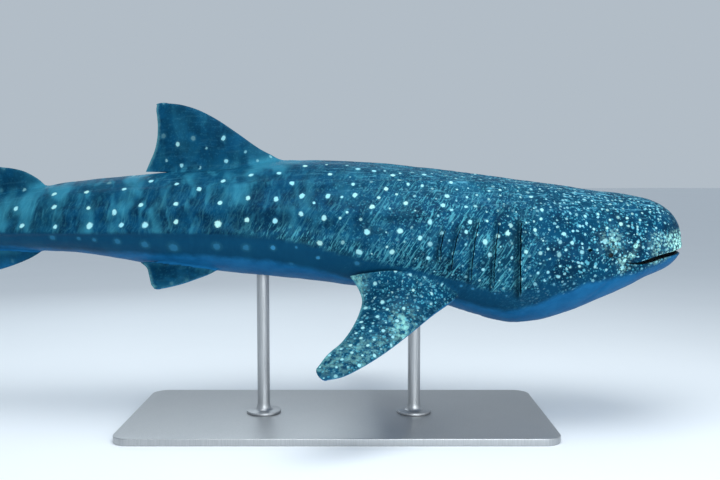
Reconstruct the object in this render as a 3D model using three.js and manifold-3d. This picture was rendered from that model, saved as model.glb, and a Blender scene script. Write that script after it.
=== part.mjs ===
// Whale shark, a life-size display model on a plain stand, in its steady swimming pose.
// Millimetres. +X points from the tail to the snout, +Z is up, the left side of the fish is +Y.
// A "station" s is the distance behind a plane just ahead of the snout; z below is measured
// from the level line of the body, and the finished group stands on z = 0.
import * as THREE from 'three';
import { mergeVertices } from 'three/addons/utils/BufferGeometryUtils.js';
import Module from 'manifold-3d';

// ---------------------------------------------------------------- driving sizes
const TOTAL_LENGTH = 7000;         // snout to the tip of the upper tail lobe
const SNOUT = 56;                  // station of the snout
const LEVEL_LINE_HEIGHT = 1350;    // level line of the body above the floor
const GAP = 0.4;                   // clearance between neighbouring pieces
const TAIL_SWING = 330;            // sideways set of the tail tip, towards +Y
const SWING_START = 3500;          // station where the tail starts to swing

const SIDE_STEPS = 20;             // loop segments on one side of a body section
const HEAD_END = 1180;             // cut between head and gill region
const GILLS_END = 1842;            // cut between gill region and trunk
const TRUNK_END = 3900;            // cut between trunk and tail stock
const STOCK_END = 5690;            // cut between tail stock and tail fin

const BLUNT_LENGTH = 500;          // length over which the snout rounds off
const BLUNT_PLAN = 2.8;            // roundness of the snout seen from above
const BLUNT_BACK = 2.88;           // roundness of its upper profile
const BLUNT_CHIN = 2.0;            // roundness of its lower profile

const LIP_HEIGHT = -55;            // lower edge of the upper lip at the snout plane
const LIP_SLOPE = -0.06;           // its fall along the head
const LIP_CURVE = -0.00028;
const MOUTH_CORNER = 548;          // station of the corner of the mouth
const MOUTH_GAPE = 46;             // opening between the lips
const JAW_HINGE_LOW = [800, -640]; // lower end of the cut behind the lower jaw

const EYE_RADIUS = 28;
const EYE_STATION = 661;
const EYE_HEIGHT = -102;
const EYE_STANDS_OUT = 13;         // how far the eye stands out of the head
const SPIRACLE = { s: 796, z: -68, r: 17 };
const NOSTRIL = { s: 84, y: 238, z: -48, rx: 26, ry: 30, rz: 9 };

// gill slits: station at the top, station at the bottom, top, bottom, width
const GILL_SLITS = [
  { top: 1268, foot: 1262, high: 134, low: -392, wide: 17 },
  { top: 1416, foot: 1450, high: 132, low: -338, wide: 17 },
  { top: 1548, foot: 1602, high: 150, low: -286, wide: 16 },
  { top: 1668, foot: 1738, high: 112, low: -214, wide: 14 },
  { top: 1776, foot: 1806, high: 84, low: -150, wide: 12 },
];
const GILL_DEPTH = 46;

// body profile: back line, belly line, half width, level of the greatest width
const PROFILE = [
  { s: 56, back: 296, belly: -300, half: 462, level: -59 },
  { s: 300, back: 292, belly: -314, half: 486, level: -98 },
  { s: 480, back: 303, belly: -376, half: 504, level: -148 },
  { s: 665, back: 323, belly: -463, half: 524, level: -158 },
  { s: 880, back: 354, belly: -554, half: 547, level: -140 },
  { s: 1060, back: 376, belly: -609, half: 565, level: -122 },
  { s: 1220, back: 396, belly: -625, half: 577, level: -108 },
  { s: 1360, back: 413, belly: -606, half: 586, level: -93 },
  { s: 1530, back: 434, belly: -556, half: 590, level: -75 },
  { s: 1750, back: 461, belly: -487, half: 590, level: -50 },
  { s: 2040, back: 491, belly: -413, half: 580, level: -20 },
  { s: 2400, back: 521, belly: -355, half: 552, level: 3 },
  { s: 2830, back: 532, belly: -305, half: 500, level: 27 },
  { s: 3260, back: 484, belly: -264, half: 442, level: 41 },
  { s: 3840, back: 435, belly: -202, half: 365, level: 44 },
  { s: 4410, back: 379, belly: -122, half: 284, level: 36 },
  { s: 4770, back: 315, belly: -108, half: 234, level: 32 },
  { s: 5080, back: 266, belly: -94, half: 190, level: 40 },
  { s: 5380, back: 242, belly: -62, half: 150, level: 58 },
  { s: 5600, back: 250, belly: -42, half: 122, level: 80 },
  { s: 5780, back: 322, belly: 10, half: 86, level: 150 },
  { s: 5960, back: 430, belly: 150, half: 50, level: 285 },
  { s: 6150, back: 545, belly: 300, half: 15, level: 430 },
];
// fullness of the upper and lower half of the section: 2 is an ellipse, more is squarer
const FULLNESS = [
  { s: 56, up: 2.3, down: 2.2 }, { s: 700, up: 2.3, down: 2.15 }, { s: 1300, up: 2.12, down: 2.1 },
  { s: 2400, up: 2.0, down: 2.0 }, { s: 4400, up: 1.95, down: 1.9 }, { s: 6150, up: 2.0, down: 2.0 },
];
// the lengthwise ridges: angle from the back (degrees) and height; the lowest grows into the keel
const RIDGES = [
  { s: 56, upper: 38, middle: 64, hUpper: 0, hMiddle: 0, hLower: 0, hBack: 0 },
  { s: 700, upper: 30, middle: 54, hUpper: 0, hMiddle: 0, hLower: 0, hBack: 4 },
  { s: 1150, upper: 21, middle: 49, hUpper: 5, hMiddle: 8, hLower: 0, hBack: 9 },
  { s: 1500, upper: 28, middle: 58, hUpper: 14, hMiddle: 17, hLower: 0, hBack: 12 },
  { s: 2050, upper: 40, middle: 69, hUpper: 19, hMiddle: 21, hLower: 8, hBack: 14 },
  { s: 2700, upper: 47, middle: 71, hUpper: 19, hMiddle: 21, hLower: 21, hBack: 10 },
  { s: 3700, upper: 46, middle: 69, hUpper: 15, hMiddle: 19, hLower: 25, hBack: 6 },
  { s: 4500, upper: 45, middle: 68, hUpper: 7, hMiddle: 11, hLower: 30, hBack: 5 },
  { s: 5000, upper: 45, middle: 68, hUpper: 0, hMiddle: 3, hLower: 46, hBack: 3 },
  { s: 5450, upper: 45, middle: 68, hUpper: 0, hMiddle: 0, hLower: 70, hBack: 0 },
  { s: 5780, upper: 45, middle: 68, hUpper: 0, hMiddle: 0, hLower: 40, hBack: 0 },
  { s: 6150, upper: 45, middle: 68, hUpper: 0, hMiddle: 0, hLower: 0, hBack: 0 },
];
const RIDGE_WIDTH = 34;

// fins: matching points on the leading and trailing edges from root to tip, [station, y, z]
const DORSAL_1 = {
  lead: [[2760, 0, 452], [2890, 0, 540], [3044, 0, 620], [3208, 0, 735], [3360, 0, 836], [3490, 0, 901], [3610, 0, 936], [3700, 0, 946]],
  trail: [[3868, 0, 456], [3836, 0, 530], [3803, 0, 604], [3783, 0, 690], [3776, 0, 784], [3781, 0, 856], [3785, 0, 902], [3780, 0, 932]],
  thick: [136, 92, 70, 56, 46, 38, 30, 20],
};
const DORSAL_2 = {
  lead: [[4500, 0, 262], [4590, 0, 352], [4667, 0, 412], [4759, 0, 460], [4850, 0, 482], [4925, 0, 490]],
  trail: [[5112, 0, 296], [5052, 0, 338], [5012, 0, 384], [4990, 0, 430], [4984, 0, 464], [4972, 0, 482]],
  thick: [64, 48, 36, 28, 22, 14],
};
const ANAL = {
  lead: [[4560, 0, -60], [4640, 0, -122], [4722, 0, -168], [4830, 0, -214], [4938, 0, -250], [5010, 0, -266]],
  trail: [[5150, 0, -104], [5096, 0, -134], [5066, 0, -168], [5050, 0, -206], [5052, 0, -240], [5044, 0, -260]],
  thick: [60, 44, 34, 27, 21, 14],
};
const PECTORAL = { // written for +Y; the right fin is its mirror image
  lead: [[1600, 330, -330], [1690, 492, -402], [1850, 608, -495], [2016, 758, -598], [2170, 893, -686], [2310, 1000, -752], [2430, 1070, -797], [2522, 1096, -812]],
  trail: [[2392, 436, -252], [2340, 452, -328], [2312, 494, -404], [2330, 590, -480], [2386, 723, -574], [2450, 822, -640], [2530, 910, -696], [2588, 1004, -756]],
  bow: [[0, 112, 48], [0, 46, 26], [0, 20, 16], [0, 8, 8], [0, 4, 4], [0, 0, 0], [0, 0, 0], [0, 0, 0]],
  thick: [122, 104, 88, 74, 60, 48, 38, 24],
};
const PELVIC = {
  lead: [[3250, 120, -190], [3352, 190, -250], [3450, 235, -286], [3548, 278, -318], [3640, 318, -338], [3692, 340, -346]],
  trail: [[3872, 176, -184], [3826, 200, -216], [3800, 246, -262], [3780, 290, -300], [3764, 322, -326], [3742, 344, -342]],
  bow: [[0, 34, 6], [0, 18, 2], [0, 8, 0], [0, 4, 0], [0, 0, 0], [0, 0, 0]],
  thick: [60, 44, 34, 27, 21, 14],
};
const TAIL_UPPER = {
  lead: [[5440, 0, 150], [5520, 0, 252], [5760, 0, 372], [6040, 0, 560], [6340, 0, 766], [6620, 0, 950], [6860, 0, 1098], [7022, 0, 1196]],
  trail: [[5900, 0, 40], [6096, 0, 150], [6214, 0, 236], [6400, 0, 382], [6600, 0, 590], [6790, 0, 824], [6944, 0, 1010], [7056, 0, 1176]],
  thick: [150, 138, 112, 88, 66, 46, 30, 14],
};
const TAIL_LOWER = {
  lead: [[5560, 0, 120], [5590, 0, -30], [5680, 0, -170], [5800, 0, -320], [5930, 0, -470], [6060, 0, -600], [6160, 0, -690]],
  trail: [[6120, 0, 190], [6036, 0, 92], [6024, 0, -40], [6060, 0, -200], [6110, 0, -380], [6166, 0, -550], [6196, 0, -676]],
  thick: [120, 104, 82, 62, 46, 32, 14],
};
const LEFT_PECTORAL_FORWARD = 25;  // degrees the left pectoral is carried further forward
const PECTORAL_PIVOT = [1800, 480];
const TRAILING_EDGE = 7;            // thickness of a fin's trailing edge
const CHORD_MARKS = [0, 0.03, 0.11, 0.25, 0.45, 0.7, 1];
const LEVELS_PER_MARK = 1.3;       // loops lofted per pair of fin points

// stand
const BASE_LENGTH = 3000, BASE_WIDTH = 1360, BASE_THICK = 50, BASE_CORNER = 120;
const BASE_CENTRE = 2480;
const ROD_RADIUS = 45, FLANGE_RADIUS = 125, FLANGE_THICK = 18;
const ROD_STATIONS = { front: 1930, rear: 3030 };

// ---------------------------------------------------------------- curves and sections
// smooth curve through a table of rows that keeps to their rises and falls
function along(rows, key, s) {
  const n = rows.length;
  if (s <= rows[0].s) return rows[0][key];
  if (s >= rows[n - 1].s) return rows[n - 1][key];
  let i = 0;
  while (s > rows[i + 1].s) i++;
  const width = (k) => rows[k + 1].s - rows[k].s;
  const slope = (k) => (rows[k + 1][key] - rows[k][key]) / width(k);
  const tangent = (k) => {
    if (k === 0) return slope(0);
    if (k === n - 1) return slope(n - 2);
    const a = slope(k - 1), b = slope(k);
    if (a * b <= 0) return 0;
    const wa = 2 * width(k) + width(k - 1), wb = width(k) + 2 * width(k - 1);
    return (wa + wb) / (wa / a + wb / b);
  };
  const h = width(i), t = (s - rows[i].s) / h;
  const p = rows[i][key], q = rows[i + 1][key], m = tangent(i) * h, w = tangent(i + 1) * h;
  return p * (1 + 2 * t) * (1 - t) ** 2 + m * t * (1 - t) ** 2 + q * t * t * (3 - 2 * t) + w * t * t * (t - 1);
}

function blunt(s, roundness) {
  const u = Math.min(1, Math.max(0, (s - SNOUT) / BLUNT_LENGTH));
  return (1 - (1 - u) ** roundness) ** (1 / roundness);
}

function lipHeight(s) { return LIP_HEIGHT + LIP_SLOPE * s + LIP_CURVE * s * s; }

// one point of the body surface: phi is 0 on the back, 90 degrees at the side, 180 on the belly
function bodyPoint(s, phi, grow = 0) {
  const level = along(PROFILE, 'level', s);
  const half = along(PROFILE, 'half', s) * blunt(s, BLUNT_PLAN);
  const rise = (along(PROFILE, 'back', s) - level) * blunt(s, BLUNT_BACK);
  const drop = (level - along(PROFILE, 'belly', s)) * blunt(s, BLUNT_CHIN);
  const full = along(FULLNESS, phi <= Math.PI / 2 ? 'up' : 'down', s);
  const c = Math.cos(phi), q = Math.abs(Math.sin(phi));
  const y = half * q ** (2 / full);
  const z = c >= 0 ? rise * c ** (2 / full) : -drop * (-c) ** (2 / full);
  const radius = Math.hypot(y, z) || 1;
  const size = (half + (rise + drop) / 2) / 2 || 1;
  const bump = (deg, height) => height * Math.exp(-(((phi - THREE.MathUtils.degToRad(deg)) * size / RIDGE_WIDTH) ** 2));
  const out = bump(along(RIDGES, 'upper', s), along(RIDGES, 'hUpper', s))
    + bump(along(RIDGES, 'middle', s), along(RIDGES, 'hMiddle', s))
    + bump(90, along(RIDGES, 'hLower', s)) + bump(0, along(RIDGES, 'hBack', s)) + grow;
  return { y: y * (1 + out / radius), z: level + z * (1 + out / radius) };
}

// angles of one side's loop, gathered so that a vertex line runs along every ridge
function loopAngles(s) {
  const marks = [[0, 0], [0.25, along(RIDGES, 'upper', s)], [0.45, along(RIDGES, 'middle', s)], [0.6, 90], [1, 180]];
  const angles = [];
  for (let i = 0; i <= SIDE_STEPS; i++) {
    const u = i / SIDE_STEPS;
    let k = 0;
    while (k < marks.length - 2 && u > marks[k + 1][0] + 1e-9) k++;
    const t = (u - marks[k][0]) / (marks[k + 1][0] - marks[k][0]);
    angles.push(THREE.MathUtils.degToRad(marks[k][1] + t * (marks[k + 1][1] - marks[k][1])));
  }
  return angles;
}

function swing(s) {
  const u = Math.max(0, (s - SWING_START) / (SNOUT + TOTAL_LENGTH - SWING_START));
  return TAIL_SWING * u * u;
}

function place(s, y, z) {
  return [SNOUT + TOTAL_LENGTH / 2 - s, y + swing(s), z + LEVEL_LINE_HEIGHT];
}

// closed surface through a row of loops, each end closed by a fan
function loft(loops, startPoint, endPoint) {
  const n = loops[0].length, positions = [], index = [];
  for (const loop of loops) for (const p of loop) positions.push(...place(...p));
  for (let j = 0; j + 1 < loops.length; j++) {
    for (let i = 0; i < n; i++) {
      const a = j * n + i, b = j * n + (i + 1) % n, c = a + n, d = b + n;
      index.push(a, b, d, a, d, c);
    }
  }
  const centre = (loop) => [0, 1, 2].map((k) => loop.reduce((sum, p) => sum + p[k], 0) / n);
  const first = positions.length / 3;
  positions.push(...place(...(startPoint ?? centre(loops[0]))));
  positions.push(...place(...(endPoint ?? centre(loops[loops.length - 1]))));
  for (let i = 0; i < n; i++) {
    index.push(first, (i + 1) % n, i);
    const base = (loops.length - 1) * n;
    index.push(first + 1, base + i, base + (i + 1) % n);
  }
  let volume = 0;
  for (let i = 0; i < index.length; i += 3) {
    const [a, b, c] = [0, 1, 2].map((k) => new THREE.Vector3().fromArray(positions, index[i + k] * 3));
    volume += a.dot(b.cross(c));
  }
  if (volume < 0) for (let i = 0; i < index.length; i += 3) [index[i + 1], index[i + 2]] = [index[i + 2], index[i + 1]];
  const geometry = new THREE.BufferGeometry();
  geometry.setAttribute('position', new THREE.Float32BufferAttribute(positions, 3));
  geometry.setIndex(index);
  return geometry;
}

function bodyLoop(s, grow) {
  const angles = loopAngles(s), loop = [];
  for (let i = 0; i <= SIDE_STEPS; i++) { const p = bodyPoint(s, angles[i], grow); loop.push([s, i === 0 || i === SIDE_STEPS ? 0 : p.y, p.z]); }
  for (let i = SIDE_STEPS - 1; i > 0; i--) { const p = bodyPoint(s, angles[i], grow); loop.push([s, -p.y, p.z]); }
  return loop;
}

function bodyGeometry(from, to, count, grow = 0) {
  const loops = [];
  const nose = from <= SNOUT;
  for (let k = nose ? 1 : 0; k <= count; k++) {
    const t = k / count;
    loops.push(bodyLoop(from + (to - from) * (nose ? t ** 1.9 : t), grow));
  }
  return loft(loops, nose ? [SNOUT - grow, 0, lipHeight(SNOUT)] : undefined);
}

// a fin: airfoil loops between the leading and the trailing edge
function finGeometry(fin, side = 1, grow = 0) {
  const curve = (points) => new THREE.CatmullRomCurve3(points.map((p) => new THREE.Vector3(...p)), false, 'centripetal');
  const lead = curve(fin.lead), trail = curve(fin.trail), bow = fin.bow ? curve(fin.bow) : null;
  const marks = fin.lead.length - 1, count = Math.round(marks * LEVELS_PER_MARK), loops = [];
  for (let j = 0; j <= count; j++) {
    const t = j / count, a = lead.getPoint(t), b = trail.getPoint(t);
    const t0 = Math.max(0, t - 0.01), t1 = Math.min(1, t + 0.01);
    const spanwise = lead.getPoint(t1).add(trail.getPoint(t1)).sub(lead.getPoint(t0)).sub(trail.getPoint(t0));
    const chord = b.clone().sub(a);
    const normal = chord.clone().cross(spanwise).normalize();
    const k = Math.min(marks - 1, Math.floor(t * marks)), f = t * marks - k;
    const thick = fin.thick[k] * (1 - f) + fin.thick[k + 1] * f + 2 * grow;
    const reach = chord.clone().normalize().multiplyScalar(grow);
    const at = (c, way) => {
      const airfoil = 5 * (0.2969 * Math.sqrt(c) - 0.126 * c - 0.3516 * c * c + 0.2843 * c ** 3 - 0.1036 * c ** 4);
      const out = (thick * airfoil + (TRAILING_EDGE / 2 + grow) * c) * way;
      const p = a.clone().lerp(b, c).addScaledVector(normal, out).addScaledVector(reach, 2 * c - 1);
      if (bow) p.addScaledVector(bow.getPoint(t), 4 * c * (1 - c));
      return [p.x, p.y * side, p.z];
    };
    const loop = [at(0, 0)];
    for (let m = 1; m < CHORD_MARKS.length; m++) loop.push(at(CHORD_MARKS[m], 1));
    for (let m = CHORD_MARKS.length - 1; m > 0; m--) loop.push(at(CHORD_MARKS[m], -1));
    loops.push(loop);
  }
  return loft(loops);
}

// side profile in station and height, pushed through the fish from one side to the other
function acrossGeometry(outline, fromY, toY) {
  const shape = new THREE.Shape(outline.map(([s, z]) => new THREE.Vector2(...(([x, , h]) => [x, h])(place(s, 0, z)))));
  const g = new THREE.ExtrudeGeometry(shape, { depth: toY - fromY, bevelEnabled: false, curveSegments: 5 });
  g.rotateX(Math.PI / 2);
  g.translate(0, toY, 0);
  return g;
}

function ball(s, y, z, rx, ry = rx, rz = rx, rings = 10) {
  const g = new THREE.SphereGeometry(1, rings * 2, rings);
  g.rotateX(Math.PI / 2);
  g.scale(rx, ry, rz);
  g.translate(...place(s, y, z));
  return g;
}

// half width of the body at a station and height
function flank(s, z) {
  const level = along(PROFILE, 'level', s);
  let lo = z >= level ? 0 : Math.PI / 2, hi = z >= level ? Math.PI / 2 : Math.PI;
  for (let i = 0; i < 40; i++) {
    const mid = (lo + hi) / 2;
    if (bodyPoint(s, mid).z > z) lo = mid; else hi = mid;
  }
  return bodyPoint(s, (lo + hi) / 2).y;
}

// ---------------------------------------------------------------- solids
const wasm = await Module();
wasm.setup();

function solid(geometry) {
  const g = geometry.clone();
  g.deleteAttribute('normal');
  g.deleteAttribute('uv');
  const m = mergeVertices(g, 1e-4);
  return new wasm.Manifold(new wasm.Mesh({
    numProp: 3,
    vertProperties: new Float32Array(m.attributes.position.array),
    triVerts: new Uint32Array(m.index.array),
  }));
}

// the largest piece of a cut, without slivers
function whole(manifold) {
  const pieces = manifold.decompose();
  return pieces.reduce((a, b) => (b.volume() > a.volume() ? b : a));
}

// the body in lengths, and the same body a clearance wider to cut what sits on it
const headBlock = solid(bodyGeometry(SNOUT, HEAD_END - GAP / 2, 18));
const gillBlock = solid(bodyGeometry(HEAD_END + GAP / 2, GILLS_END - GAP / 2, 5));
const trunkBlock = solid(bodyGeometry(GILLS_END + GAP / 2, TRUNK_END - GAP / 2, 13));
const stockBlock = solid(bodyGeometry(TRUNK_END + GAP / 2, STOCK_END - GAP / 2, 12));
const tailCore = solid(bodyGeometry(STOCK_END + GAP / 2, 6150, 5));
const wideBody = solid(bodyGeometry(HEAD_END, GILLS_END, 5, GAP))
  .add(solid(bodyGeometry(GILLS_END - GAP, TRUNK_END, 13, GAP)))
  .add(solid(bodyGeometry(TRUNK_END - GAP, STOCK_END, 12, GAP)));
const wideStock = solid(bodyGeometry(TRUNK_END, STOCK_END + GAP / 2, 12, GAP));

// mouth: a slit that follows the upper lip, and a thin cut behind the lower jaw
const slitLine = (offset) => {
  const line = [];
  for (let i = 0; i <= 10; i++) {
    const s = -60 + (MOUTH_CORNER + 60) * (i / 10);
    const open = MOUTH_GAPE * (1 - Math.max(0, (s - 300) / (MOUTH_CORNER - 300)) ** 2.2);
    line.push([s, lipHeight(s) - offset * Math.max(open, 0)]);
  }
  return line;
};
const jawSide = acrossGeometry([...slitLine(1), JAW_HINGE_LOW, [-60, JAW_HINGE_LOW[1]]], -800, 800);
const mouthSide = acrossGeometry([...slitLine(0), [MOUTH_CORNER + 2 * GAP, lipHeight(MOUTH_CORNER) - GAP],
  [JAW_HINGE_LOW[0] + 2 * GAP, JAW_HINGE_LOW[1]], [-60, JAW_HINGE_LOW[1]]], -800, 800);
let lowerJaw = headBlock.intersect(solid(jawSide));
let head = headBlock.subtract(solid(mouthSide));

// eyes in their sockets, spiracles and nostrils
const eyes = {};
for (const [name, side] of [['eye_left', 1], ['eye_right', -1]]) {
  const y = side * (flank(EYE_STATION, EYE_HEIGHT) + EYE_STANDS_OUT - EYE_RADIUS);
  eyes[name] = solid(ball(EYE_STATION, y, EYE_HEIGHT, EYE_RADIUS, EYE_RADIUS, EYE_RADIUS, 7));
  head = head.subtract(solid(ball(EYE_STATION, y, EYE_HEIGHT, EYE_RADIUS + GAP, EYE_RADIUS + GAP, EYE_RADIUS + GAP, 7)));
  const hole = side * flank(SPIRACLE.s, SPIRACLE.z);
  head = head.subtract(solid(ball(SPIRACLE.s, hole, SPIRACLE.z, SPIRACLE.r, SPIRACLE.r, SPIRACLE.r * 0.8, 4)));
  head = head.subtract(solid(ball(NOSTRIL.s, side * NOSTRIL.y, NOSTRIL.z, NOSTRIL.rx, NOSTRIL.ry, NOSTRIL.rz, 4)));
}

// gill slits: thin bowed leaves pushed into the flank
let gills = gillBlock;
for (const slit of GILL_SLITS) {
  const middle = (slit.high + slit.low) / 2, bowBack = 14;
  const curve = (way) => new THREE.QuadraticBezierCurve(
    new THREE.Vector2(slit.top, slit.high),
    new THREE.Vector2((slit.top + slit.foot) / 2 + bowBack + way * slit.wide, middle),
    new THREE.Vector2(slit.foot, slit.low),
  ).getPoints(4).map((p) => [p.x, p.y]);
  const outline = [...curve(1), ...curve(-1).reverse().slice(1, -1)];
  const inner = Math.min(flank(slit.top, slit.high), flank(slit.foot, slit.low)) - GILL_DEPTH;
  for (const side of [1, -1]) {
    const [from, to] = side > 0 ? [inner, 760] : [-760, -inner];
    gills = gills.subtract(solid(acrossGeometry(outline, from, to)));
  }
}

function carriedForward(fin, degrees) {
  const a = THREE.MathUtils.degToRad(degrees), [ps, py] = PECTORAL_PIVOT;
  const turn = ([s, y, z]) => [ps + (s - ps) * Math.cos(a) - (y - py) * Math.sin(a), py + (s - ps) * Math.sin(a) + (y - py) * Math.cos(a), z];
  return { ...fin, lead: fin.lead.map(turn), trail: fin.trail.map(turn) };
}
const onBody = (fin, side) => whole(solid(finGeometry(fin, side)).subtract(wideBody));
const upperLobe = whole(solid(finGeometry(TAIL_UPPER)).add(tailCore).subtract(wideStock));
const shifted = (fin, ds, dz) => ({ ...fin, lead: fin.lead.map(([s, y, z]) => [s + ds, y, z + dz]), trail: fin.trail.map(([s, y, z]) => [s + ds, y, z + dz]) });
const lowerLobe = whole(solid(finGeometry(TAIL_LOWER))
  .subtract(upperLobe)
  .subtract(solid(finGeometry(shifted(TAIL_UPPER, 0, -GAP), 1, GAP)))
  .subtract(solid(finGeometry(shifted(TAIL_UPPER, GAP, 0), 1, GAP)))
  .subtract(solid(bodyGeometry(STOCK_END + GAP / 2, 6150, 5, 2 * GAP))).subtract(wideStock));

// stand: a flat plate and two flanged rods that reach the belly
const corner = BASE_CORNER, bl = BASE_LENGTH / 2, bw = BASE_WIDTH / 2;
const plate = new THREE.Shape();
plate.moveTo(-bl + corner, -bw);
plate.lineTo(bl - corner, -bw); plate.absarc(bl - corner, -bw + corner, corner, -Math.PI / 2, 0, false);
plate.lineTo(bl, bw - corner); plate.absarc(bl - corner, bw - corner, corner, 0, Math.PI / 2, false);
plate.lineTo(-bl + corner, bw); plate.absarc(-bl + corner, bw - corner, corner, Math.PI / 2, Math.PI, false);
plate.lineTo(-bl, -bw + corner); plate.absarc(-bl + corner, -bw + corner, corner, Math.PI, Math.PI * 1.5, false);
const baseGeometry = new THREE.ExtrudeGeometry(plate, { depth: BASE_THICK, bevelEnabled: false, curveSegments: 5 });
baseGeometry.translate(place(BASE_CENTRE, 0, 0)[0], 0, 0);

function rod(s) {
  const high = LEVEL_LINE_HEIGHT - 150 - BASE_THICK;
  const profile = [[0, 0], [FLANGE_RADIUS, 0], [FLANGE_RADIUS, FLANGE_THICK], [ROD_RADIUS + 18, FLANGE_THICK + 10],
    [ROD_RADIUS, FLANGE_THICK + 46], [ROD_RADIUS, high], [0, high]].map(([r, h]) => new THREE.Vector2(r, h));
  const g = new THREE.LatheGeometry(profile, 20);
  g.rotateX(Math.PI / 2);
  g.translate(place(s, 0, 0)[0], 0, BASE_THICK + GAP);
  return whole(solid(g).subtract(wideBody).subtract(gillsReach));
}
const gillsReach = solid(bodyGeometry(HEAD_END, GILLS_END, 5, GAP));

// ---------------------------------------------------------------- nodes
const group = new THREE.Group();
group.name = 'whale_shark';

function add(name, manifold, colour, roughness, metalness = 0) {
  const mesh = manifold.getMesh();
  const geometry = new THREE.BufferGeometry();
  geometry.setAttribute('position', new THREE.Float32BufferAttribute(mesh.vertProperties, 3));
  geometry.setIndex([...mesh.triVerts]);
  geometry.computeVertexNormals();
  const node = new THREE.Mesh(geometry, new THREE.MeshStandardMaterial({ color: colour, roughness, metalness }));
  node.name = name;
  group.add(node);
}

const SKIN = 0x1f4a57, PALE = 0xa9c3cd, EYE = 0x0b0d10, STEEL = 0x9a9fa3;
add('head', whole(head), SKIN, 0.5);
add('lower_jaw', whole(lowerJaw), PALE, 0.5);
add('eye_left', eyes.eye_left, EYE, 0.1);
add('eye_right', eyes.eye_right, EYE, 0.1);
add('gill_region', whole(gills), SKIN, 0.5);
add('trunk', trunkBlock, SKIN, 0.5);
add('tail_stock', stockBlock, SKIN, 0.5);
add('dorsal_fin_first', onBody(DORSAL_1, 1), SKIN, 0.5);
add('dorsal_fin_second', onBody(DORSAL_2, 1), SKIN, 0.5);
add('pectoral_fin_left', onBody(carriedForward(PECTORAL, LEFT_PECTORAL_FORWARD), 1), SKIN, 0.5);
add('pectoral_fin_right', onBody(PECTORAL, -1), SKIN, 0.5);
add('pelvic_fin_left', onBody(PELVIC, 1), SKIN, 0.5);
add('pelvic_fin_right', onBody(PELVIC, -1), SKIN, 0.5);
add('anal_fin', onBody(ANAL, 1), SKIN, 0.5);
add('tail_fin_upper_lobe', upperLobe, SKIN, 0.5);
add('tail_fin_lower_lobe', lowerLobe, SKIN, 0.5);
add('stand_base', solid(baseGeometry), STEEL, 0.35, 0.6);
add('stand_rod_front', rod(ROD_STATIONS.front), STEEL, 0.3, 0.8);
add('stand_rod_rear', rod(ROD_STATIONS.rear), STEEL, 0.3, 0.8);

// the middle of the whole model, seen from above, is the origin
const extent = new THREE.Box3().setFromObject(group);
for (const node of group.children) node.geometry.translate(-(extent.min.x + extent.max.x) / 2, -(extent.min.y + extent.max.y) / 2, -extent.min.z);

export default group;
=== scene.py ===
import math

import bmesh
import bpy
import numpy as np
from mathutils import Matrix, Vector, kdtree


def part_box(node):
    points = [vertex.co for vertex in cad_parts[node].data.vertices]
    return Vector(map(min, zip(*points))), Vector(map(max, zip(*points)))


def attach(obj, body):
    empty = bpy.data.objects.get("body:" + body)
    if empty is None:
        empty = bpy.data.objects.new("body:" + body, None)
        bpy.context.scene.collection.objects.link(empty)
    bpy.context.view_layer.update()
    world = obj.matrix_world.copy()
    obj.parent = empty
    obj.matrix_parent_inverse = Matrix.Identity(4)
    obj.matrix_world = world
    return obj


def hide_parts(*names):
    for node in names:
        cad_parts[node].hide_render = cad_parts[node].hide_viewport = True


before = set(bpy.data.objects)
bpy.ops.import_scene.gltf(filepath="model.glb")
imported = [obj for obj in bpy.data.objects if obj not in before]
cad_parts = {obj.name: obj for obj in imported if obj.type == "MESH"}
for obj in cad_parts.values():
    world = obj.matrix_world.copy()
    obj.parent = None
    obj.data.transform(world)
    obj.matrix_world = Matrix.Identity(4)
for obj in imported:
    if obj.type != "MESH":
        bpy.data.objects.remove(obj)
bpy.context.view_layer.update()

# ------------------------------------------------------------------ sizes, as in the solids (mm)
SNOUT, TOTAL, FLOOR = 56.0, 7000.0, 1350.0
SWING, SWING_START = 330.0, 3500.0
BLUNT_LENGTH, BLUNT_PLAN, BLUNT_BACK, BLUNT_CHIN = 500.0, 2.8, 2.88, 2.0
CORNER, GAPE = 548.0, 46.0
EYE_S, EYE_Z, EYE_R, EYE_OUT = 661.0, -102.0, 28.0, 13.0
SPIRACLE = (796.0, -68.0, 17.0)
_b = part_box("stand_base")
SIDE_SET = (_b[0][1] + _b[1][1]) / 2      # where the fish's middle plane lies in the frame

PROFILE = np.array([  # station, back, belly, half width, level of the greatest width
    (56, 296, -300, 462, -59), (300, 292, -314, 486, -98), (480, 303, -376, 504, -148), (665, 323, -463, 524, -158),
    (880, 354, -554, 547, -140), (1060, 376, -609, 565, -122), (1220, 396, -625, 577, -108), (1360, 413, -606, 586, -93),
    (1530, 434, -556, 590, -75), (1750, 461, -487, 590, -50), (2040, 491, -413, 580, -20), (2400, 521, -355, 552, 3),
    (2830, 532, -305, 500, 27), (3260, 484, -264, 442, 41), (3840, 435, -202, 365, 44), (4410, 379, -122, 284, 36),
    (4770, 315, -108, 234, 32), (5080, 266, -94, 190, 40), (5380, 242, -62, 150, 58), (5600, 250, -42, 122, 80),
    (5780, 322, 10, 86, 150), (5960, 430, 150, 50, 285), (6150, 545, 300, 15, 430)], float)
FULLNESS = np.array([(56, 2.3, 2.2), (700, 2.3, 2.15), (1300, 2.12, 2.1), (2400, 2.0, 2.0), (4400, 1.95, 1.9), (6150, 2.0, 2.0)])
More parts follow.
